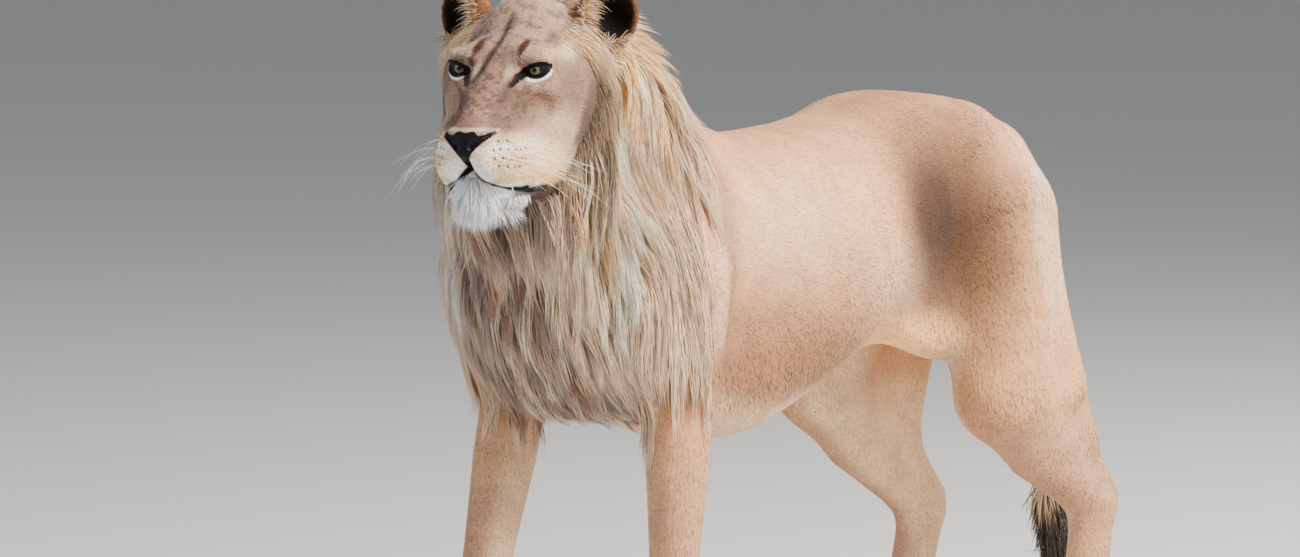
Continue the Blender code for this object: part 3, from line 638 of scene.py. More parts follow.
def creases(local, normals):
    # the folds, and ridges between the rows of whiskers
    here = np.column_stack([np.abs(local[:, 0]), local[:, 1:]])
    x, y, z = here.T
    pad = fall(y, -0.075, -0.045) * ramp(x, 0.018, 0.03) * ramp(z, -0.16, -0.148) * fall(z, -0.108, -0.096)
    move = -0.0004 * pad * (0.5 + 0.5 * np.cos((z + 0.1105 - 0.1 * (y + 0.09)) * 2 * math.pi / 0.0125))
    for start, end, width, deep in folds:
        start, end = np.array(mm(start)), np.array(mm(end))
        along = end - start
        share = np.clip((here - start) @ along / (along @ along), 0, 1)
        gap = np.linalg.norm(here - start - share[:, None] * along, axis=1)
        fade = ramp(share, -0.02, 0.15) * fall(share, 0.85, 1.02)
        move = move - deep / 1000 * fade * np.exp(-(gap * 1000 / width) ** 2)
    return local + normals * move[:, None]


def unwrap(obj):
    bpy.ops.object.select_all(action="DESELECT")
    obj.select_set(True)
    bpy.context.view_layer.objects.active = obj
    bpy.ops.object.mode_set(mode="EDIT")
    bpy.ops.mesh.select_all(action="SELECT")
    bpy.ops.uv.smart_project(angle_limit=math.radians(66), island_margin=0.001)
    bpy.ops.object.mode_set(mode="OBJECT")
    obj.data.uv_layers[0].name = "OFBake"


def addObject(name, data):
    obj = bpy.data.objects.new(name, data)
    bpy.context.scene.collection.objects.link(obj)
    return obj


def wholeFace(x, y, z):
    return (y < 0.046) & (z > -0.206) & (z < 0.1) & (x < 0.15)


def eyesAndMouth(x, y, z):
    eyes = (np.hypot(x - 0.064, z + 0.002) < 0.034) & (y < 0.03)
    muzzle = (y < -0.095) & (z < -0.07) & (z > -0.165)
    lips = (y < -0.01) & (z < -0.13) & (z > -0.19)
    return eyes | muzzle | lips


def lids(x, y, z):
    return (np.hypot((x - 0.064) / 1.5, z + 0.001) < 0.0165) & (y < 0.02)


def buildSkin():
    points, faces = merged(*surfaceNet(flesh, gridDepth(flesh)))
    mesh = bpy.data.meshes.new("lionSkin")
    mesh.from_pydata(points.tolist(), [], faces)
    obj = addObject("lionSkin", mesh)
    edited(mesh, closeHoles)
    relax(mesh, 0.5, 3)
    print("Stage: skin net", len(mesh.polygons))
    unwrap(obj)
    print("Stage: skin unwrapped")
    subdivideFace(mesh, wholeFace)
    settleMesh(mesh, 1)
    relax(mesh, 0.4, 1)
    subdivideFace(mesh, eyesAndMouth)
    settleMesh(mesh, 2)
    subdivideFace(mesh, lids)
    points = settle(readAll(mesh.vertices, "co", 3), 2)
    local = inHead(points)
    inward = turned(readAll(mesh.vertices, "normal", 3), toBody.inverted())
    face = (local[:, 1] < 0.12) & (local[:, 2] > -0.24)
    points[face] = moved(openEyes(creases(local[face], inward[face])), toBody)
    points[:, 2] = np.maximum(points[:, 2], 0.0012)
    setCoordinates(mesh, points)
    mesh.shade_smooth()
    return obj


skin = buildSkin()


# Markings with painted shade and painted highlights, shared by the skin and every tuft

def tone(red, green, blue):
    # a colour as the eye names it, 0 to 255, in the light's own scale
    value = np.array((red, green, blue)) / 255
    return np.where(value <= 0.04045, value / 12.92, ((value + 0.055) / 1.055) ** 2.4)


# colours of the coat; some stand for light: the haunch's dusky tone is darker coat with painted shade, the low tone is
# painted shade, the crease tone is painted shade in the forehead's furrows and under the jaw, the ear's inside tone is
# its dark skin with painted shade in the cup
tones = {name: tone(*value) for name, value in {
    "tan": (208, 152, 108), "back": (166, 120, 94), "thighDuskAndShade": (44, 28, 24), "belly": (238, 202, 162),
    "flank": (253, 190, 126), "leg": (186, 139, 105), "paw": (214, 178, 142), "face": (146, 115, 94),
    "low": (134, 92, 66), "forehead": (170, 136, 118), "bridge": (150, 110, 92), "white": (246, 238, 228),
    "chin": (244, 243, 243), "ochre": (228, 170, 104), "cheek": (196, 164, 134), "black": (9, 7, 8),
    "nose": (14, 10, 16), "lip": (10, 8, 9), "browMark": (70, 34, 14), "crease": (40, 24, 19),
    "earInside": (16, 11, 10), "earRim": (124, 80, 50), "pale": (232, 208, 180), "tailTip": (50, 36, 30),
    "shade": (72, 54, 48), "cream": (230, 206, 172),
}.items()}


def profile(value, places, results):
    # a broken line through places and results in mm
    return np.interp(value * 1000, places, results) / 1000


def ruffRing(local):
    # how far back the cheek ends and the longer hair starts, by height
    return profile(local[:, 2], [-200, -165, -100, -20, 50, 100], [5, 50, 108, 126, 100, 100])


def blob(points, centre, radii, soft=0.35):
    gap = np.linalg.norm((points - np.array(centre)) / np.array(radii), axis=1)
    return fall(gap, 1 - soft, 1 + soft)


def stroke(points, line, width, soft=0.5):
    return fall(lineGap(points, line) / width, 1 - soft, 1 + soft)


def waves(points, scale, seed):
    # a smooth random field between 0 and 1, from a few crossing waves
    dice = np.random.default_rng(seed)
    total = np.zeros(len(points))
    for _ in range(7):
        way = unit(dice.normal(size=(1, 3)))[0] * scale * dice.uniform(0.6, 1.6)
        total += np.sin(points @ way * 2 * math.pi + dice.uniform(0, 6.28))
    return np.clip(0.5 + total / 9, 0, 1)


def noseMask(local):
    # the bare leather: a broad top with two arms, narrowing to the cleft
    x, y, z = np.abs(local[:, 0]), local[:, 1], local[:, 2]
    reach = [0, 4, 7, 13, 21, 30, 38, 42]
    bottom = profile(x, reach, [-152, -149, -131, -121.5, -113, -104.5, -98, -91])
    top = profile(x, reach, [-90.5, -89.5, -88.5, -88, -94, -93, -87, -90])
    inside = np.minimum(top - z, z - bottom)
    return ramp(inside, -0.0006, 0.0008) * fall(y, -0.118, -0.108) * fall(x, 0.0415, 0.0435)


def earMask(points, s, grow=1.0):
    here = moved(points, earPlaces[s].inverted())
    w, h = head["ear"]["width"] * grow, head["ear"]["height"] * grow
    inside = np.linalg.norm((here - (0, 0, h * 0.35)) / (w + 0.004, 0.044, h + 0.004), axis=1)
    return fall(inside, 0.94, 1.1) * ramp(here[:, 2], -0.04, -0.015), here


lips = [[Vector((0, *mouthLine[0])) + Vector((0, 0, 0.012))] + mouthPoints(flesh, s) for s in (1, -1)]


def lipDistance(local):
    return np.minimum(*(lineGap(local, line) for line in lips))


# y and z of the whiskers' roots, row by row, mm
whiskerRows = [
    [(-118, -104), (-106, -104)],
    [(-130, -117), (-121, -116), (-110, -117), (-98, -118), (-85, -118), (-72, -118)],
    [(-132, -130), (-121, -130), (-109, -132), (-97, -133), (-85, -132), (-74, -131)],
    [(-126, -142), (-114, -143), (-102, -145), (-90, -145)],
]
whiskerRoots = [onSurface(flesh, *mm(place), s) for s in (1, -1) for row in whiskerRows for place in row]


def eyeEdge(local):
    # distance to the nearer eye's opening, and height within it
    edge, height = np.full(len(local), 9.0), np.zeros(len(local))
    for s in sides.values():
        centre, lateral, up, out = eyeAxes(s)
        arm = local - centre
        near = (np.linalg.norm(arm, axis=1) < 0.045) & (arm @ out > 0.004)
        here = np.where(near, openingEdge(arm @ lateral, arm @ up), 9.0)
        height = np.where(here < edge, arm @ up, height)
        edge = np.minimum(edge, here)
    return edge, height


# Soft marks on both sides of the body: name, strength, centre, radii, softness; the dusky ones make the haunch, its
# darker coat with painted shade on its front, and two are painted highlights
bodyMarksAndPaintedLight = [
    ("thighDuskAndShade", 0.9, (0.16, 0.69, 0.88), (0.2, 0.15, 0.155), 0.9),
    ("thighDuskAndShade", 0.62, (0.16, 0.745, 0.755), (0.17, 0.14, 0.14), 0.9),
    ("thighDuskAndShade", 0.36, (0.15, 0.8, 0.9), (0.16, 0.17, 0.12), 0.9),
    # a painted highlight on the buttock's rear edge
    ("pale", 0.4, (0.15, 1.01, 0.85), (0.1, 0.07, 0.17), 0.6),
    # a painted highlight on the upper ribs, in the belly's pale colour
    ("belly", 0.45, (0.19, 0.23, 0.9), (0.08, 0.19, 0.11), 0.8),
    ("belly", 0.4, (0.15, 0.5, 0.76), (0.08, 0.11, 0.08), 0.8),
]
farHaunch = 0.6  # of the near one's strength


def markingsAndPaintedLight(points):
    # the coat's colour with painted shade and painted highlights, and how bare and moist the skin is, at any point of
    # the body
    x, y, z = points.T
    beside = np.abs(x)
    colour = np.tile(tones["tan"], (len(points), 1))

    def paint(name, share):
        colour[:] = colour + (tones[name] - colour) * np.clip(share, 0, 1)[:, None]

    paint("back", 0.42 * ramp(z, 0.97, 1.06) * ramp(y, -0.1, 0.1))
    # the haunch's darker coat and painted shade, weaker on the far side
    haunch = ramp(y, 0.5, 0.62) * (0.95 + 0.08 * waves(points, 9, 7))
    for s in (1, -1):
        for name, share, middle, radii, soft in bodyMarksAndPaintedLight:
            if name == "thighDuskAndShade":
                share = share * haunch * (1 if s > 0 else farHaunch)
            paint(name, share * blob(points, (s * middle[0], *middle[1:]), radii, soft))
    paint("belly", 0.8 * fall(z, 0.615, 0.7) * ramp(y, -0.2, 0) * fall(y, 0.74, 0.86) * fall(beside, 0.09, 0.17))
    for s in (1, -1):
        paint("flank", 0.95 * blob(points, (s * 0.12, 0.58, 0.668), (0.11, 0.16, 0.046), 0.6))
    # painted shade low on the sides of the trunk, under the light from above
    paint("low", 0.82 * fall(z, 0.62, 0.95) * fall(y, 0.4, 0.66) * ramp(z, 0.56, 0.64) * ramp(beside, 0.09, 0.14))
    # a painted highlight along the shoulder's rear edge, and painted shade just behind it
    flat, out = points * (0, 1, 1), ramp(beside, 0.06, 0.11)
    paint("pale", 0.3 * out * stroke(flat, [(0, 0.04, 0.96), (0, 0.02, 0.86), (0, -0.01, 0.74)], 0.026, 0.95))
    paint("low", 0.6 * out * stroke(flat, [(0, 0.098, 0.975), (0, 0.08, 0.86), (0, 0.052, 0.69)], 0.03, 0.95))
    paint("leg", fall(z, 0.45, 0.62))
    paint("belly", 0.7 * fall(z, 0.5, 0.62) * fall(beside, 0.105, 0.135))
    paint("paw", fall(z, 0.08, 0.16))
    paint("pale", 0.5 * blob(points, (0, 1.07, 0.8), (0.1, 0.07, 0.14), 0.5))
    paint("tailTip", ramp(y, 1.235, 1.262) * fall(z, 0.38, 0.43) * fall(np.abs(x + 0.02), 0.06, 0.08))

    # the face, in the head's own frame; spots and lines lie as seen from the front, in mm
    local = inHead(points)
    x, y, z = local.T
    on, ahead = fall(y, 0.2, 0.3) * ramp(z, -0.28, -0.22), fall(y, 0.06, 0.085)
    wide = np.abs(x)
    mirrored = np.column_stack([wide, y, z]) * 1000
    front = mirrored * (1, 0, 1)

    def spot(name, share, x, z, across, high, soft=0.5):
        paint(name, share * ahead * blob(front, (x, 0, z), (across, 1, high), soft))

    def drawn(places, width, soft):
        return ahead * stroke(front, [(x, 0, z) for x, z in places], width, soft)

    def line(name, share, places, width, soft):
        paint(name, share * drawn(places, width, soft))

    paint("face", on)
    paint("forehead", 0.9 * on * ramp(z, 0.022, 0.05) * fall(wide, 0.065, 0.1))
    spot("bridge", 0.85, 0, -40, 34, 50, 0.4)
    spot("shade", 0.35, 0, -78, 26, 12)
    spot("cheek", 0.5, 94, -85, 22, 34, 0.7)
    spot("shade", 0.4, 112, -28, 20, 34, 0.6)
    hem = fall(np.abs(y - ruffRing(local) + 0.02), 0.014, 0.034)
    paint("shade", 0.85 * ramp(wide, 0.052, 0.075) * hem * ramp(z, -0.19, -0.15) * fall(z, -0.04, 0.01))
    spot("shade", 0.45, 42, -47, 16, 16, 0.9)
    spot("shade", 0.35, 46, -80, 9, 22, 0.6)
    spot("cream", 0.9, 52, -135, 50, 40, 0.3)
    paint("white", 0.95 * blob(mirrored, (18, -122, -150), (26, 44, 22)))
    spot("white", 0.75, 46, -118, 14, 10)
    line("pale", 0.45, [(0, -85.5), (26, -85.5), (40, -87)], 2.6, 0.7)
    spot("ochre", 0.85, 84, -150, 18, 30)
    spot("ochre", 0.55, 62, -170, 22, 10)
    spot("ochre", 0.45, 60, -100, 14, 8)
    spot("ochre", 0.5, 56, -136, 20, 12, 0.8)
    line("shade", 0.32, [(40, -36), (49, -60), (56, -84)], 10, 0.9)
    paint("chin", fall(z, -0.178, -0.166) * fall(y, -0.036, -0.012) * on)
    paint("chin", fall(z, -0.153, -0.148) * ramp(y, -0.136, -0.13) * ahead * fall(wide, 0.024, 0.03))
    dust = ramp(waves(local, 42, 8) * waves(local, 75, 9), 0.22, 0.42)
    paint("shade", 0.6 * on * dust * ramp(z, -0.085, -0.06) * fall(np.abs(wide - 0.02), 0.04, 0.07))
    spot("pale", 0.45, 26.5, -5, 6.5, 14)
    line("pale", 0.22, [(46, 29), (64, 30), (86, 23)], 8.5, 0.6)
    spot("ochre", 0.45, 86, 32, 16, 12)
    paint("pale", 0.7 * blob(mirrored, (93, 72, 50), (14, 30, 36), 0.6))
    spot("browMark", 1, 37, 34, 7.4, 12.5, 0.35)
    paint("earRim", 0.6 * stroke(mirrored, [(66, 35, 60), (66, 90, 100)], 12, 0.6))
    # painted shade in the forehead's furrows, stronger on its right, away from the key light; and a dark streak from
    # the brow mark towards the eye
    furrowShade = np.where(x < 0, 0.9, 0.27)  # stronger on its right
    line("crease", furrowShade, [(1, 98), (2, 58), (8.5, 28), (14.6, 6), (27, -18)], 5, 0.9)
    line("crease", 0.6, [(0, 110), (1, 70)], 9, 0.9)
    line("crease", 0.55, [(37, 26), (40.5, 8)], 3, 0.7)
    line("shade", 0.7, [(46, 100), (60, 64), (72, 40)], 7, 0.8)
    roots = np.minimum.reduce([np.linalg.norm(local - np.array(place), axis=1) for place in whiskerRoots])
    paint("black", 0.9 * fall(roots, 0.0018, 0.0034))
    edge, height = eyeEdge(local)
    rim = np.where(height > 0, 0.0058, 0.0044)
    paint("white", 0.92 * ahead * fall(height, -0.003, 0.001) * fall(edge, 0.007, 0.0096))
    paint("black", fall(edge, rim - 0.001, rim + 0.0012))
    line("black", 1, [(50, -2), (43, -11)], 7.4, 0.25)
    line("black", 1, [(42.5, -12), (37.2, -21.2)], 5.2, 0.3)
    for _ in range(2):
        line("shade", 0.3, [(34, -15), (29, -50), (34, -82)], 6, 0.8)
    parted = np.maximum(drawn([(0, -144), (10, -156.5), (22, -169.5), (46, -179)], 3.6, 0.3),
                        drawn([(46, -179), (66.5, -186.2), (80, -181.5)], 3.8, 0.3))
    # painted shadow under the corner of the jaw, behind the mouth
    paint("crease", 0.85 * ramp(wide, 0.04, 0.054) * fall(z, -0.184, -0.174) * fall(y, 0.03, 0.06) * on)
    lip = lipDistance(local) + 0.012 * fall(wide, 0.03, 0.066)
    thick = 0.003 + 0.0022 * fall(z, -0.184, -0.172) * ramp(y, -0.115, -0.07)
    lip = np.maximum(fall(lip, thick * 0.55, thick * 1.5), parted * (y < 0)) * on
    leather = noseMask(local)
    paint("lip", lip)
    paint("nose", leather)
    for s in (1, -1):
        mask, here = earMask(points, s)
        paint("earRim", mask)
        # darker in the ear's cup: its dark skin with painted shade
        paint("earInside", mask * blob(here, (0, -0.03, 0.026), (0.046, 0.052, 0.05), 0.14))
        paint("earInside", 0.9 * mask * ramp(here[:, 1], 0.01, 0.02) * fall(here[:, 2], 0.035, 0.055))
    colour *= (0.9 + 0.2 * waves(points, 9, 5))[:, None]
    return colour, np.maximum.reduce([lip, leather, 0.8 * fall(edge, 0.0012, 0.0026)])


# How the coat lies: a direction along the surface at any point

def combed(points, normals):
    x, y, z = points.T
    way = np.tile((0, 1, -0.28), (len(points), 1))

    def lay(direction, share):
        way[:] = way + (np.array(direction) - way) * np.clip(share, 0, 1)[:, None]

    above = fall(-normals[:, 2], 0.45, 0.75)
    lay((0, 0.35, -1), fall(z, 0.66, 0.86) * above)
    lay((0, 0.2, -1), blob(points, (0, 0.95, 0.78), (0.25, 0.2, 0.26), 0.4) * above)
    lay((0, 0.3, -1), fall(y, -0.1, 0.02) * ramp(z, 0.55, 0.62))
    lay((0, 0.05, -1), fall(z, 0.44, 0.56))
    lay((0, -0.9, -0.4), fall(z, 0.07, 0.115))
    lay((0, 0.3, -1), ramp(y, 1.12, 1.16))
    local = inHead(points)
    u, v, w = local.T
    fan = unit((local - (0, -0.165, -0.105)) * (1, 1.25, 1))
    fan[:, 2] -= 0.7 * fall(w, -0.17, -0.1) * ramp(v, -0.02, 0.04)
    lay(turned(fan, toBody), fall(v, 0.17, 0.24) * ramp(w, -0.26, -0.22))
    for s in (1, -1):
        mask, here = earMask(points, s, 1.05)
        lay(unit(turned(here - (0, 0.02, -0.05), earPlaces[s])), mask)
    return alongTangent(way, normals)


# Roots: places scattered over the skin, each with its normal and its spot on the unwrap

def skinTriangles(mesh):
    mesh.calc_loop_triangles()
    corners, loops = (readAll(mesh.loop_triangles, name, 3, np.int32) for name in ("vertices", "loops"))
    points, normals = (readAll(mesh.vertices, name, 3)[corners] for name in ("co", "normal"))
    area = np.linalg.norm(np.cross(points[:, 1] - points[:, 0], points[:, 2] - points[:, 0]), axis=1) / 2
    return {"point": points, "normal": normals, "uv": readAll(mesh.uv_layers["OFBake"].data, "uv", 2)[loops],
            "area": area, "middle": points.mean(axis=1)}


def scatter(count, share, seed):
    dice = np.random.default_rng(seed)
    total = np.cumsum(surface["area"] * share)
    pick = np.searchsorted(total, (np.arange(count) + dice.uniform(size=count)) / count * total[-1])
    a, b = dice.uniform(size=count), dice.uniform(size=count)
    flip = a + b > 1
    a, b = np.where(flip, 1 - a, a), np.where(flip, 1 - b, b)
    weight = np.stack([1 - a - b, a, b], axis=1)[:, :, None]
    start, normal, uv = ((surface[name][pick] * weight).sum(axis=1) for name in ("point", "normal", "uv"))
    return dice, start, unit(normal), uv


# Hair: each strand is a closed, three-sided spike that follows a path of points to its tip

mostTriangles = 196000  # in one piece of the coat
rootWidth = 0.18  # as a share of the strand's own
patch = 0.0013  # half the size of a strand's place on the unwrap


def hairPieces(name, paths, facing, width, thickness, rootColour, tipColour, uv, material, slot):
    count, stops = paths.shape[:2]
    most = mostTriangles // (6 * (stops - 2) + 4)
    for number, start in enumerate(range(0, count, most), 1):
        part = slice(start, start + most)
        label = name if count <= most else f"{name}{number:02d}"
        values = (array[part] for array in (paths, facing, width, rootColour, tipColour, uv))
        hairPiece(label, *values, thickness, material, slot)


def strandFaces(rings):
    faces = [[0, 1, 2]]
    for k in range(0, 3 * rings - 3, 3):
        faces += [[k + (i + 1) % 3, k + i, k + 3 + i, k + 3 + (i + 1) % 3] for i in range(3)]
    last = 3 * (rings - 1)
    return faces + [[last + (i + 1) % 3, last + i, 3 * rings] for i in range(3)]


def hairPiece(name, paths, facing, width, rootColour, tipColour, uv, thickness, material, slot):
    count, stops = paths.shape[:2]
    rings = stops - 1
    along = unit(np.gradient(paths, axis=1))
    side = unit(np.cross(along, facing[:, None, :]))
    up = unit(np.cross(side, along))
    t = np.linspace(0, 1, stops)
    radius = width[:, None] / 2 * (np.array([rootWidth] + [1.0] * rings) * (1 - t) ** 0.55)
    r, middle, side, up = radius[:, :-1, None], paths[:, :-1], side[:, :-1], up[:, :-1]
    corners = np.stack([middle + side * r, middle - side * r, middle + up * r * thickness], axis=2)
    points = np.concatenate([corners.reshape(count, rings * 3, 3), paths[:, -1:]], axis=1) + np.array(shift)
    faces = strandFaces(rings)
    loops = np.array([v for face in faces for v in face])
    starts = np.cumsum([0] + [len(face) for face in faces])[:-1]
    each = np.arange(count)[:, None]
    mesh = bpy.data.meshes.new(name)

    def fill(items, key, values, kind=np.float32):
        items.foreach_set(key, values.astype(kind).ravel())

    mesh.vertices.add(count * (rings * 3 + 1))
    fill(mesh.vertices, "co", points)
    mesh.loops.add(count * len(loops))
    fill(mesh.loops, "vertex_index", loops + each * (rings * 3 + 1), np.int32)
    mesh.polygons.add(count * len(faces))
    fill(mesh.polygons, "loop_start", starts + each * len(loops), np.int32)
    mesh.update(calc_edges=True)
    share = np.append(np.repeat(t[:rings], 3), 1)[:, None]
    colour = rootColour[:, None] * (1 - share) + tipColour[:, None] * share
    fill(mesh.attributes.new("coat", "FLOAT_COLOR", "POINT").data, "color", np.insert(colour, 3, 1, axis=2))
    across = np.append(np.tile([-1, 1, 0], rings), 0)
    spread = np.column_stack([across, share[:, 0] * 2 - 1])[loops] * patch
    fill(mesh.uv_layers.new(name="OFBake").data, "uv", uv[:, None] + spread)
    mesh.shade_smooth()
    mesh.materials.append(material)
    obj = addObject(name, mesh)
    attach(obj, "root")


# Materials

def feed(tree, node, inputs):
    # a socket is linked, anything else is set
    for key, value in inputs.items():
        if isinstance(value, bpy.types.NodeSocket):
            tree.links.new(value, node.inputs[key])
        else:
            node.inputs[key].default_value = value


def addNode(tree, kind, inputs={}, **settings):
    node = tree.nodes.new("ShaderNode" + kind)
    for name, value in settings.items():
        setattr(node, name, value)
    feed(tree, node, inputs)
    return node


def calc(tree, kind, *values):
    return addNode(tree, "Math", dict(enumerate(values)), operation=kind).outputs[0]


def objectPlace(tree):
    return addNode(tree, "TexCoord").outputs["Object"]


def noise(tree, place, scale, detail=2):
    return addNode(tree, "TexNoise", {"Vector": place, "Scale": scale, "Detail": detail}).outputs["Fac"]


def colourSteps(tree, fac, steps):
    node = addNode(tree, "ValToRGB", {"Fac": fac})
    elements = node.color_ramp.elements
    while len(elements) < len(steps):
        elements.new(0.5)
    for element, (position, value) in zip(elements, steps):
        element.position, element.color = position, (*value, 1)
    return node.outputs["Color"]


def mottleGroup():
    # two sizes of noise that lighten and darken a colour, and fine dark flecks
    tree = bpy.data.node_groups.new("coatMottle", "ShaderNodeTree")
    for name, value in (("Color", (0.5, 0.4, 0.3, 1)), ("Broad", 0.2), ("Fine", 0.2), ("Flecks", 0.3)):
        kind = "NodeSocketColor" if name == "Color" else "NodeSocketFloat"
        tree.interface.new_socket(name, in_out="INPUT", socket_type=kind).default_value = value
    tree.interface.new_socket("Color", in_out="OUTPUT", socket_type="NodeSocketColor")
    given = tree.nodes.new("NodeGroupInput").outputs
    place = objectPlace(tree)

    def swing(scale, strength):
        # 1 on average, moving by the strength to both sides
        fac = calc(tree, "SUBTRACT", noise(tree, place, scale, 3), 0.5)
        return calc(tree, "ADD", calc(tree, "MULTIPLY", fac, calc(tree, "MULTIPLY", strength, 2.4)), 1)

    total = calc(tree, "MULTIPLY", swing(26, given["Broad"]), swing(240, given["Fine"]))
    speck = addNode(tree, "MapRange", {"Value": noise(tree, place, 190, 1), "From Min": 0.62, "From Max": 0.7})
    fleck = calc(tree, "SUBTRACT", 1, calc(tree, "MULTIPLY", speck.outputs["Result"], given["Flecks"]))
    total = calc(tree, "MULTIPLY", total, fleck)
    scaled = addNode(tree, "VectorMath", {0: given["Color"], "Scale": total}, operation="SCALE")
    tree.links.new(scaled.outputs[0], tree.nodes.new("NodeGroupOutput").inputs["Color"])
    return tree


mottle = mottleGroup()


def newMaterial(name, roughness, specular):
    material = bpy.data.materials.new(name)
    material.use_nodes = True
    shader = material.node_tree.nodes["Principled BSDF"]
    feed(material.node_tree, shader, {"Roughness": roughness, "Specular IOR Level": specular})
    return material, material.node_tree, shader


def attribute(tree, name):
    return addNode(tree, "Attribute", attribute_name=name).outputs


def furMaterial(name, roughness, broad, fine, flecks, sheen):
    material, tree, shader = newMaterial(name, roughness, 0.12)
    group = addNode(tree, "Group", node_tree=mottle)
    feed(tree, group, {"Broad": broad, "Fine": fine, "Flecks": flecks, "Color": attribute(tree, "coat")["Color"]})
    feed(tree, shader, {"Base Color": group.outputs["Color"], "Sheen Weight": sheen, "Sheen Roughness": 0.4})
    return material


def skinMaterial():
    material = furMaterial("skinAndShortCoat", 0.8, 0.2, 0.5, 0.2, 0.05)
    tree = material.node_tree
    bare, upright = (attribute(tree, name)["Fac"] for name in ("bare", "upright"))
    place = objectPlace(tree)

    def hairs(stretch):
        mapping = addNode(tree, "Mapping", {"Vector": place, "Scale": stretch})
        return noise(tree, mapping.outputs["Vector"], 300)

    def mixed(fac, a, b):
        return addNode(tree, "Mix", {0: fac, 2: a, 3: b}).outputs[0]

    grain = addNode(tree, "TexVoronoi", {"Vector": place, "Scale": 620}).outputs["Distance"]
    height = mixed(bare, mixed(upright, hairs((1, 0.2, 1)), hairs((1, 1, 0.2))), calc(tree, "MULTIPLY", grain, 0.22))
    bump = addNode(tree, "Bump", {"Strength": 0.7, "Distance": 0.003, "Height": height})
    gloss = addNode(tree, "MapRange", {"Value": bare, "To Min": 0.85, "To Max": 0.42})
    feed(tree, tree.nodes["Principled BSDF"], {"Normal": bump.outputs["Normal"], "Roughness": gloss.outputs["Result"]})
    return material


def setAttribute(mesh, name, kind, values):
    layer = mesh.attributes.new(name, kind, "POINT")
    layer.data.foreach_set("color" if kind == "FLOAT_COLOR" else "value", values.astype(np.float32).ravel())


points = readAll(skin.data.vertices, "co", 3)
colour, bare = markingsAndPaintedLight(points)
setAttribute(skin.data, "coat", "FLOAT_COLOR", np.insert(colour, 3, 1, axis=1))
setAttribute(skin.data, "bare", "FLOAT", bare)
setAttribute(skin.data, "upright", "FLOAT", fall(points[:, 2], 0.6, 0.78))
surface = skinTriangles(skin.data)
skin.data.transform(Matrix.Translation(shift))
skin.data.materials.append(skinMaterial())
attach(skin, "root")
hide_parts(*[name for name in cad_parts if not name.startswith("eye_")])
print("Stage: skin coloured")

shortFur = furMaterial("shortCoat", 0.75, 0.2, 0.55, 0.3, 0.05)
longHair = furMaterial("maneHair", 0.55, 0.1, 0.12, 0, 0.2)


# The mane's ground: behind the cheeks and jaw, down the neck to the withers, breast and brisket

def maneRing(local):
    return profile(local[:, 2], [-260, -200, -165, -100, -20, 50, 100, 130], [10, 22, 74, 138, 148, 134, 148, 165])


def maneShare(points):
    x, y, z = points.T
    local = inHead(points)
    edge = profile(z, [600, 660, 750, 850, 950, 1020, 1100], [40, 0, -45, -60, -35, 0, 40])
    share = ramp(local[:, 1] - maneRing(local), -0.006, 0.014) * ramp(edge - y, -0.012, 0.03) * ramp(z, 0.585, 0.62)
    for s in (1, -1):
        share = share * (1 - earMask(points, s)[0])
    return share * (1 - ramp(np.abs(x), 0.12, 0.15) * fall(z, 0.68, 0.76) * ramp(y, -0.25, -0.19))  # not the outer arm


mane = {
    "tufts": 2250, "strands": 12, "stops": 6, "pathStops": 13, "spread": 0.013, "width": 0.0031, "thickness": 0.4,
    "gather": 0.56,  # how far a tuft draws together towards its tip
    "swell": 0.36,  # a tuft's height, as a share of its width
}


def manePaths(dice, start, normal, crown):
    # each tuft's path, led over the hull of the mane
    local, count = inHead(start), len(start)
    env, out = hull.sample(start)
    crest = ramp(out[:, 2], 0.45, 0.85)
    length = 0.165 - 0.08 * crest
    length += (0.215 - length) * fall(np.abs(local[:, 1] - 0.15), 0.03, 0.09) * fall(local[:, 2], -0.02, 0.06)
    length += (0.1 - length) * fall(start[:, 2], 0.64, 0.72)
    length += (0.052 - length) * crown
    length *= dice.uniform(0.8, 1.15, count)
    yaw = dice.normal(0, 0.11, count)
    deep = np.maximum(-env, 0.004)
    finish = dice.uniform(-0.004, 0.014, count) * (1 - 0.5 * crest)
    phase, wave = dice.uniform(0, 6.28, count), dice.uniform(0.02, 0.12, count)
    steps = mane["pathStops"] - 1
    path = [start - normal * 0.004]
    for k in range(1, steps + 1):
        t, here = k / steps, path[-1]
        env, out = hull.sample(here)
        side, under = ramp(out[:, 2], 0.5, 0.9)[:, None], ramp(-out[:, 2], 0.4, 0.8)[:, None]
        back = np.column_stack([0.45 * np.sign(here[:, 0] - 0.03), np.full(count, 1.0), np.full(count, -0.5)])
        way = (np.array((0, 0.14, -1)) * (1 - side) + back * side) * (1 - under) + np.array((0, 0.75, -0.7)) * under
        way = alongTangent(way, out)
        bend = yaw + wave * np.sin(phase + t * 5)
        way = unit(way + unit(np.cross(out, way)) * bend[:, None] + np.array((0, 0, -0.35)) * t**2)
        here = here + way * (length / steps)[:, None]
        env, out = hull.sample(here)
        target = deep * (1 - t) ** 1.6 + finish * t
        push = np.clip(-target - env, -0.01, 0.75 * length / steps)
        path.append(here + out * push[:, None])
    return np.stack(path, axis=1)


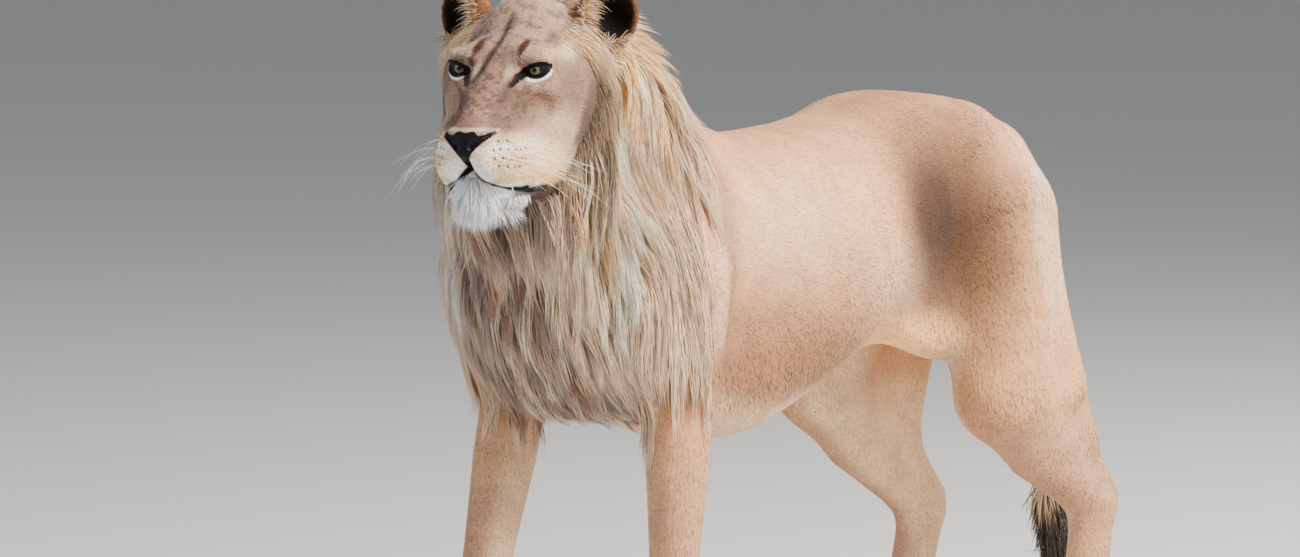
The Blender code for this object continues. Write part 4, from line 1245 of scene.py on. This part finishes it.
def maneHairs():
    middle = surface["middle"]
    share = maneShare(middle) * (1 + 0.6 * fall(middle[:, 1], -0.3, -0.15))
    dice, start, normal, uv = scatter(mane["tufts"], share, 11)
    local = inHead(start)
    crown = fall(local[:, 1], 0.18, 0.26) * ramp(local[:, 2], 0.06, 0.1)
    path = manePaths(dice, start, normal, crown)
    facing = hull.sample(path[:, mane["pathStops"] // 2])[1]
    # strands of each tuft round its own path
    total = len(start) * mane["strands"]
    owner = np.repeat(np.arange(len(start)), mane["strands"])
    reach = dice.uniform(0.7, 1.06, total)
    t = np.linspace(0, 1, mane["stops"]) ** 1.35
    where = np.clip(reach[:, None] * t, 0, 1) * (mane["pathStops"] - 1)
    first = np.minimum(where.astype(int), mane["pathStops"] - 2)
    part = (where - first)[:, :, None]
    line = path[owner[:, None], first] * (1 - part) + path[owner[:, None], first + 1] * part
    line += (line[:, -1:] - line[:, -2:-1]) * (np.maximum(reach - 1, 0)[:, None, None] * t[:, None] ** 2 * 4)
    angle, far = dice.uniform(0, 6.28, total), np.sqrt(dice.uniform(0, 1, total)) * mane["spread"]
    along = unit(path[:, 4] - path[:, 1])
    across = unit(np.cross(along, facing))
    lift = np.cross(across, along)[owner] * (np.sin(angle) * far * mane["swell"])[:, None]
    offset = across[owner] * (np.cos(angle) * far)[:, None] + lift
    line = line + offset[:, None] * (1 - mane["gather"] * t**0.8)[:, None]
    line = line + dice.normal(0, 0.0011, (total, mane["stops"], 3)) * (t[:, None] > 0.2)
    width = mane["width"] * dice.uniform(0.65, 1.15, total) * (1 - 0.35 * crown[owner])
    root, tip = maneColours(start, path, owner, dice, total)
    hairPieces("mane", line, facing[owner], width, mane["thickness"], root, tip, uv[owner], longHair, "mane")


# colours of the mane's locks; the throat tone is darker hair with painted shade
maneTones = {name: tone(*value) for name, value in {
    "cream": (253, 240, 220), "blond": (242, 214, 178), "golden": (246, 182, 108), "sand": (214, 180, 148),
    "grey": (146, 132, 132), "brown": (118, 84, 64), "dark": (74, 56, 50), "rust": (156, 98, 58),
    "throat": (88, 68, 62),
}.items()}


def maneColours(start, path, owner, dice, total):
    # pale locks behind the cheeks, golden under the ears, greyer on the throat and darker there with painted shade,
    # brown low on the breast; painted shadow at the roots and where the cheek ends
    root, count = inHead(start), len(start)
    x, y, z = inHead(path[:, 5]).T
    out, height = np.abs(path[:, 6, 0]), path[:, 6, 2]
    pick = dice.uniform(0, 1, count)
    colour = np.tile(maneTones["sand"], (count, 1))

    def blendIn(name, share):
        colour[:] = colour + (maneTones[name] - colour) * np.clip(share, 0, 1)[:, None]

    def near(middle, half):
        return np.abs(pick - middle) < half

    def band(middle, half):
        return fall(np.abs(y + 0.012 * (pick - 0.5) - middle), half * 0.6, half * 1.4)

    side = ramp(np.abs(x), 0.06, 0.095)
    high = side * ramp(height, 0.84, 0.93)
    front = fall(y, 0.06, 0.115) * fall(z, -0.18, -0.12)
    low = fall(height, 0.84, 0.95)
    shoulder = ramp(out, 0.1, 0.15) * low
    crest = ramp(root[:, 2], 0.05, 0.1) * fall(np.abs(root[:, 0]), 0.07, 0.11)
    gap = ramp(maneRing(root) - root[:, 1], -0.02, -0.006) * fall(root[:, 2], -0.04, 0.01)
    for name, share in (
        # darker locks on the throat: darker hair with painted shade, the front facing away from the key light
        ("throat", 0.85 * front * (pick < 0.8)),
        ("blond", 0.45 * front * (pick > 0.86)),
        ("brown", 0.45 * front * near(0.45, 0.22)),
        ("grey", 0.75 * low * (pick < 0.6)),
        ("brown", 0.65 * low * near(0.72, 0.1)),
        ("blond", 0.6 * low * (pick > 0.84)),
        ("dark", 0.35 * fall(height, 0.66, 0.76) * (pick < 0.6)),
        ("rust", 0.6 * low * near(0.5, 0.08)),
        ("blond", 0.75 * shoulder * (pick < 0.8)),
        ("sand", 0.5 * shoulder),
        ("cream", high * band(0.155, 0.035) * np.where(pick < 0.75, 0.95, 0.4)),
        ("golden", high * band(0.205, 0.018) * 0.7),
        ("cream", side * ramp(height, 0.7, 0.85) * band(0.25, 0.028) * np.where(pick < 0.7, 0.95, 0.3)),
        ("golden", high * ramp(root[:, 2], -0.035, 0.015) * np.where(pick > 0.35, 0.75, 0.2)),
        ("golden", 0.7 * high * near(0.55, 0.05)),
        ("blond", 0.7 * high * (pick < 0.25)),
        # painted shadow on the locks where the cheek ends
        ("dark", 0.8 * side * gap * (pick < 0.85)),
        ("grey", 0.6 * crest * (pick < 0.6)),
        ("golden", 0.5 * crest * (pick > 0.8)),
    ):
        blendIn(name, share)
    colour *= dice.uniform(0.82, 1.14, (count, 1))
    strand = colour[owner] * dice.uniform(0.93, 1.08, (total, 1))
    strand = np.where((dice.uniform(0, 1, total) < 0.05)[:, None], strand * 0.6, strand)
    shadow = 0.62 + 0.34 * np.maximum(high, shoulder)[owner][:, None]
    return strand * shadow * np.array((1, 0.95, 0.91)), np.minimum(strand * 1.25, 0.97)


print("Stage: mane")
maneHairs()


# Short coat: single flat spikes along the lie of the hair

def onHead(points):
    local = inHead(points)
    return fall(local[:, 1], 0.195, 0.215) * ramp(local[:, 2], -0.25, -0.235)


def furSize(points, table):
    # body, leg, foot, tail, face and muzzle values, blended over the animal
    x, y, z = points.T
    local, face = inHead(points), onHead(points)
    muzzle = np.maximum(fall(local[:, 1], -0.06, -0.015), fall(eyeEdge(local)[0], 0.007, 0.016))
    value = np.full(len(points), table["body"])
    for name, share in (
        ("leg", fall(z, 0.45, 0.62)),
        ("foot", fall(z, 0.09, 0.2)),
        ("tail", ramp(y, 1.12, 1.16) * ramp(z, 0.36, 0.5)),
        ("face", face),
        ("muzzle", face * muzzle),
    ):
        value = value + (table.get(name, table["body"]) - value) * share
    return value


def valueAt(what, points):
    if isinstance(what, dict):
        return furSize(points, what)
    return what(points) if callable(what) else np.full(len(points), what)


def spikes(name, count, share, seed, length, width, lift, kind, droop=0, spread=0.12, root=0.9, colour=None, way=None,
           flecks=0.7, flat=0.45):
    stops, material, slot = kind
    dice, start, normal, uv = scatter(count, share, seed)
    way = combed(start, normal) if way is None else alongTangent(way(start), normal)
    way = unit(way + np.cross(normal, way) * dice.normal(0, spread, (count, 1)))
    size = valueAt(length, start) * dice.uniform(0.75, 1.2, count)
    high = valueAt(lift, start) * dice.uniform(0.6, 1.3, count)
    t = np.linspace(0, 1, stops)[:, None]
    line = (start - normal * 0.0009)[:, None] + way[:, None] * size[:, None, None] * t
    line = line + normal[:, None] * high[:, None, None] * (1.6 * t - 0.6 * t * t)
    line[:, :, 2] -= (droop * size)[:, None] * t[:, 0] ** 2
    own = markingsAndPaintedLight(start)[0] if colour is None else colour(start) if callable(colour) else np.tile(colour, (count, 1))
    own = own * dice.uniform(0.93, 1.07, (count, 1))
    own = np.where((dice.uniform(0, 1, count) < 0.04)[:, None], own * flecks, own)
    wide = valueAt(width, start) * dice.uniform(0.75, 1.2, count)
    hairPieces(name, line, normal, wide, flat, own * root, np.minimum(own * 1.1, 0.95), uv, material, slot)


def furred(points):
    # no tufts on leather, lips, lids, whisker roots or soles
    local = inHead(points)
    x, y, z = local.T
    clear = ramp(eyeEdge(local)[0], 0.0045, 0.006) * (1 - np.minimum(noseMask(local) * 2, 1))
    clear *= ramp(np.abs(x) + 0.2 * ramp(z, -0.126, -0.122) + 0.2 * ramp(y, -0.11, -0.1), 0.004, 0.006)
    clear *= ramp(lipDistance(local), 0.005, 0.0065)
    for s in (1, -1):
        mask, here = earMask(points, s)
        clear *= 1 - 0.9 * mask * blob(here, (0, -0.03, 0.024), (0.041, 0.04, 0.046), 0.16)
    return clear * (points[:, 2] > 0.008)


print("Stage: short coat")
shortKind, longKind = (3, shortFur, "coat"), (5, longHair, "mane")
middle = surface["middle"]
bald = furred(middle)
hidden = maneShare(middle)
headShare = onHead(middle)
feet = fall(middle[:, 2], 0.09, 0.2)
nearFace = fall(inHead(middle)[:, 1], -0.05, 0.02)
spikes("bodyCoat", 38500, bald * (1 - headShare) * (1 - 0.95 * hidden) * (1 + 0.9 * feet), 21,
       {"body": 0.021, "leg": 0.015, "foot": 0.01, "tail": 0.016},
       {"body": 0.0026, "leg": 0.0023, "foot": 0.002, "tail": 0.0026},
       {"body": 0.0012, "leg": 0.0013, "foot": 0.0018, "tail": 0.002}, shortKind, root=0.97, flecks=0.84, flat=0.22)
spikes("faceCoat", 17500, bald * headShare * (1 - 0.9 * hidden) * (1 + 1.2 * nearFace), 22,
       {"body": 0.011, "face": 0.0105, "muzzle": 0.0056}, {"body": 0.0017, "face": 0.0016, "muzzle": 0.0012},
       {"body": 0.0015, "face": 0.0011, "muzzle": 0.0008}, shortKind, root=0.98, flecks=0.8, flat=0.35)


# Longer hair of the head and tail

def ruffShare(points):
    # the rear edge of the cheeks, up to the front of the ears
    local = inHead(points)
    x, y, z = local.T
    near = fall(np.abs(y - ruffRing(local) - 0.006), 0.012, 0.034)
    return ramp(np.abs(x), 0.06, 0.08) * near * ramp(z, -0.185, -0.165) * fall(z, 0.085, 0.11)


def ruffLength(points):
    local = inHead(points)
    return 0.018 + 0.044 * ramp(local[:, 1] - ruffRing(local), -0.028, 0.018)


def ruffWay(points):
    x, y, z = inHead(points).T
    high = ramp(z, 0, 0.05)
    return turned(np.column_stack([np.sign(x) * (0.25 + 0.3 * high), 0.55 - 0.15 * high, 0.1 * high - 0.9]), toBody)


def ruffColour(points):
    local = inHead(points)
    colour = markingsAndPaintedLight(points)[0]
    high = ramp(local[:, 2], -0.02, 0.04)[:, None]
    mix = (np.random.default_rng(41).uniform(0, 1, len(points)) < 0.38)[:, None]
    pale = np.where(mix, maneTones["cream"], maneTones["golden"])
    colour = colour + (pale - colour) * (0.35 + 0.5 * high)
    # painted shadow on the ruff where the cheek ends, less higher up
    front = fall(local[:, 1] - ruffRing(local), -0.02, 0.004)[:, None]  # dusky where the cheek ends
    return colour * (1 - 0.62 * front * (1 - high))


def chinShare(points):
    local = inHead(points)
    x, y, z = local.T
    wide = np.abs(x)
    clear = lipDistance(local) > 0.007 + 0.003 * ramp(wide, 0.026, 0.04)
    parted = fall(z, -0.159, -0.153) * (wide < 0.03) * (y > -0.134) * (y < -0.06)
    parted = parted * fall(wide / np.maximum(-z - 0.148, 0.001), 1, 1.25)
    return np.maximum(fall(z, -0.186, -0.176) * fall(y, -0.05, -0.03) * clear, parted)


def chinLength(points):
    x, y, z = inHead(points).T
    return 0.01 + 0.032 * fall(np.abs(x), 0.008, 0.048) + 0.006 * fall(z, -0.2, -0.185)


def chinWay(points):
    x, y, z = inHead(points).T
    return turned(np.column_stack([x * 4, np.where(y < -0.07, -0.3, 0.2), np.full(len(x), -1.0)]), toBody)


def tailWay(points):
    return np.tile((-0.15, 0.45, -1), (len(points), 1))


def earInnerShare(points):
    total = np.zeros(len(points))
    for s in (1, -1):
        mask, here = earMask(points, s)
        rim, rear = ramp(-s * here[:, 0], 0.01, 0.026), fall(here[:, 2], -0.01, 0.004)
        total += mask * fall(here[:, 1], -0.016, -0.006) * np.maximum(rim, 0.5 * rear)
    return total


def earColour(points):
    pick = np.random.default_rng(42).uniform(0, 1, len(points))[:, None]
    return np.where(pick < 0.45, tones["pale"], np.where(pick < 0.75, maneTones["golden"], maneTones["brown"]))


def earInnerWay(points):
    # across the cup, from its inner rim outwards and up
    way = np.tile((0.9, -0.55, 0.55), (len(points), 1))
    way[:, 0] *= np.sign(inHead(points)[:, 0])
    return turned(way, toBody)


spikes("cheekRuff", 3400, ruffShare(middle) * bald, 26, ruffLength, 0.0019, lambda points: 0.2 * ruffLength(points),
       longKind, droop=0.3, spread=0.16, root=0.85, colour=ruffColour, way=ruffWay)
spikes("chinTuft", 2400, chinShare(middle), 23, chinLength, 0.0021, 0.007, longKind, droop=0.45, spread=0.3,
       root=0.92, colour=tones["chin"], way=chinWay)
onTail = fall(np.abs(middle[:, 0] + 0.02), 0.06, 0.08) * ramp(middle[:, 1], 1.235, 1.255)
spikes("tailTuft", 900, onTail * fall(middle[:, 2], 0.36, 0.4), 24, 0.07, 0.0038, 0.02, longKind, droop=0.1,
       spread=0.25, way=tailWay)
spikes("earTufts", 1300, earInnerShare(middle), 25, 0.034, 0.0013, 0.006, longKind, droop=0.35, spread=0.35,
       root=0.7, colour=earColour, way=earInnerWay)


# Whiskers

whiskers = {"reach": 0.25, "length": 0.115, "width": 0.0011, "stops": 9}


def growWhiskers():
    dice = np.random.default_rng(31)
    t = np.linspace(0, 1, whiskers["stops"])[:, None]
    lines = []
    for place in whiskerRoots:
        s = 1 if place.x > 0 else -1
        for _ in range(1 if place.y < -0.11 else 2):
            length = whiskers["length"] * dice.uniform(0.55, 1.25)
            length *= 0.55 + 0.75 * min(max((place.y + 0.13) / 0.06, 0), 1)
            way = (s * dice.uniform(0.75, 1), dice.uniform(0.25, 0.75), dice.uniform(-0.4, 0.02))
            way = np.array(Vector(way).normalized())
            bend = np.array((0, 0.3, -dice.uniform(0.1, 0.35)))
            line = moved(np.array(place) - 0.002 * way + way * t * length + bend * t**2 * length, toBody)
            over = max(0, line[-1, 0] + shift.x - whiskers["reach"])  # past the width of the body
            lines.append(line + np.array((-over, 0.7 * over, 0)) * t**1.6)
    count = len(lines)
    white = np.tile(tone(246, 242, 234), (count, 1))
    width = whiskers["width"] * dice.uniform(0.8, 1.15, count)
    facing, uv = np.tile((0.0, 0, 1), (count, 1)), np.full((count, 2), 0.5)
    material = furMaterial("whiskerHair", 0.35, 0, 0.05, 0, 0)
    hairPieces("whiskers", np.array(lines), facing, width, 1.5, white * 0.9, white, uv, material, "mane")


growWhiskers()


# Eyes: the ball with its clear bulge, iris and pupil, and the dark moist rim of the lids

eyes = {"iris": 28.5, "pupil": 9.5, "bulge": 0.0013, "bulgeReach": 30, "gaze": 3, "rimWidth": 0.0017}  # degrees, metres


def eyeMaterial(name, centre, gaze):
    material, tree, shader = newMaterial(name, 0.3, 0.15)
    place = objectPlace(tree)

    def vector(kind, *values):
        return addNode(tree, "VectorMath", dict(enumerate(values)), operation=kind).outputs

    arm = vector("NORMALIZE", vector("SUBTRACT", place, centre)[0])[0]
    angle = calc(tree, "ARCCOSINE", vector("DOT_PRODUCT", arm, gaze)["Value"])
    angle = calc(tree, "MULTIPLY_ADD", noise(tree, place, 900, 3), 0.05, angle)  # a streaky edge
    iris, pupil = (math.radians(eyes[name]) + 0.025 for name in ("iris", "pupil"))
    colour = colourSteps(tree, angle, [
        (0, (0.002, 0.002, 0.002)), (pupil - 0.012, (0.002, 0.002, 0.002)), (pupil + 0.012, tone(84, 70, 40)),
        (pupil + 0.12, tone(104, 98, 66)), (iris - 0.1, tone(78, 76, 54)), (iris - 0.03, tone(16, 13, 11)),
        (iris + 0.03, tone(14, 10, 9)), (1, tone(24, 16, 14)),
    ])
    feed(tree, shader, {"Base Color": colour, "Coat Weight": 0.35, "Coat Roughness": 0.03})
    return material


def makeEye(side, s):
    centre = toBody @ Vector((s * head["eye"][0], *head["eye"][1:])) + shift
    gaze = (toBody.to_3x3() @ Vector((math.sin(math.radians(eyes["gaze"])), -1, 0))).normalized()
    bpy.ops.mesh.primitive_uv_sphere_add(segments=64, ring_count=40, radius=head["eyeRadius"])
    obj = bpy.context.object
    obj.name = obj.data.name = "eyeball" + side.capitalize()
    for vertex in obj.data.vertices:
        angle = math.degrees(vertex.co.angle(Vector((0, 0, 1))))
        vertex.co *= 1 + eyes["bulge"] * max(0, 1 - (angle / eyes["bulgeReach"]) ** 2) / head["eyeRadius"]
    obj.data.transform(Matrix.Translation(centre) @ gaze.to_track_quat("Z", "Y").to_matrix().to_4x4())
    obj.data.shade_smooth()
    obj.data.materials.append(eyeMaterial("eye" + side.capitalize(), centre, gaze))
    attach(obj, "root")
    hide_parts("eye_" + side)


def rimLine(s, around):
    # the edge of the opening, just off the eyeball
    centre, lateral, up, out = eyeAxes(s)
    a = 2 * math.pi * np.arange(around)[:, None] / around
    high = np.sin(a) > 0
    height = np.where(high, opening["upper"], -opening["lower"])
    power = np.where(high, opening["upperPower"], opening["lowerPower"])
    u = opening["half"] * np.cos(a) + opening["outward"]
    v = height * (1 - np.abs(np.cos(a)) ** power) + opening["raise"]
    n = np.sqrt(np.maximum((head["eyeRadius"] + 0.0008) ** 2 - u * u - v * v, 1e-8))
    return centre, centre + lateral * u + up * v + out * n


def lidRims(around=72, section=8):
    # a thin tube along the edge of each opening
    verts, faces = [], []
    for s in sides.values():
        centre, line = rimLine(s, around)
        outward = unit(line - centre)
        across = unit(np.cross(unit(np.roll(line, -1, axis=0) - np.roll(line, 1, axis=0)), outward))
        b = 2 * math.pi * np.arange(section)[:, None] / section
        offset = across[:, None] * np.cos(b) + outward[:, None] * np.sin(b)
        base = len(verts)
        tube = moved(line[:, None] + offset * eyes["rimWidth"] / 2, toBody) + np.array(shift)
        verts += tube.reshape(-1, 3).tolist()
        for k in range(around):
            here, ahead = base + k * section, base + (k + 1) % around * section
            for j in range(section):
                beside = (j + 1) % section
                faces.append([here + j, here + beside, ahead + beside, ahead + j])
    mesh = bpy.data.meshes.new("lidRims")
    mesh.from_pydata(verts, [], faces)
    edited(mesh, lambda bm: bmesh.ops.recalc_face_normals(bm, faces=bm.faces))
    mesh.shade_smooth()
    material, tree, shader = newMaterial("moistLid", 0.3, 0.5)
    tint = noise(tree, objectPlace(tree), 300)
    colour = colourSteps(tree, tint, [(0, (0.004, 0.003, 0.003)), (1, (0.022, 0.016, 0.015))])
    feed(tree, shader, {"Base Color": colour, "Coat Weight": 0.5})
    mesh.materials.append(material)
    obj = addObject("lidRims", mesh)
    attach(obj, "root")


print("Stage: eyes")
for side, s in sides.items():
    makeEye(side, s)
lidRims()


# Stage, light and camera

studio = {"floor": tone(208, 207, 204), "key": 1120, "fill": 190, "rim": 420, "world": 0.36}  # lights in watts


def areaLight(name, place, aim, size, colour):
    data = bpy.data.lights.new(name, "AREA")
    data.size, data.energy, data.color = size, studio[name], colour
    obj = addObject(name, data)
    obj.location = place
    obj.rotation_euler = (Vector(place) - Vector(aim)).to_track_quat("Z", "Y").to_euler()


bpy.ops.mesh.primitive_plane_add(size=160)
floor = bpy.context.object
floor.name = "paleFloor"
material, tree, shader = newMaterial("paleFloor", 0.9, 0.1)
feed(tree, shader, {"Base Color": (*studio["floor"], 1)})
floor.data.materials.append(material)
areaLight("key", (4.6, 0.3, 4.8), (0, 0.1, 0.9), 2.2, (1, 0.96, 0.9))
areaLight("fill", (-4, -5, 2.6), (0, -0.3, 0.9), 4, (0.66, 0.8, 1))
areaLight("rim", (2, 5.5, 4.4), (0, 0.3, 1), 3, (1, 0.97, 0.93))
world = bpy.data.worlds.new("studio")
world.use_nodes = True
feed(world.node_tree, world.node_tree.nodes["Background"], {"Color": (0.92, 0.95, 1, 1), "Strength": studio["world"]})
bpy.context.scene.world = world

view = {"azimuth": 36, "elevation": 5, "distance": 14, "lens": 248.1, "left": 0.2377, "above": 0.3273}
a, e = math.radians(view["azimuth"]), math.radians(view["elevation"])
back = Vector((math.sin(a) * math.cos(e), -math.cos(a) * math.cos(e), math.sin(e)))
right = Vector((math.cos(a), math.sin(a), 0))
aim = Vector(head["eyeLevel"]) + shift + right * view["left"] - back.cross(right) * view["above"]
data = bpy.data.cameras.new("camera")
data.lens, data.clip_end = view["lens"], 300
camera = addObject("camera", data)
camera.location = aim + back * view["distance"]
camera.rotation_euler = back.to_track_quat("Z", "Y").to_euler()
bpy.context.scene.camera = camera

bpy.context.view_layer.update()
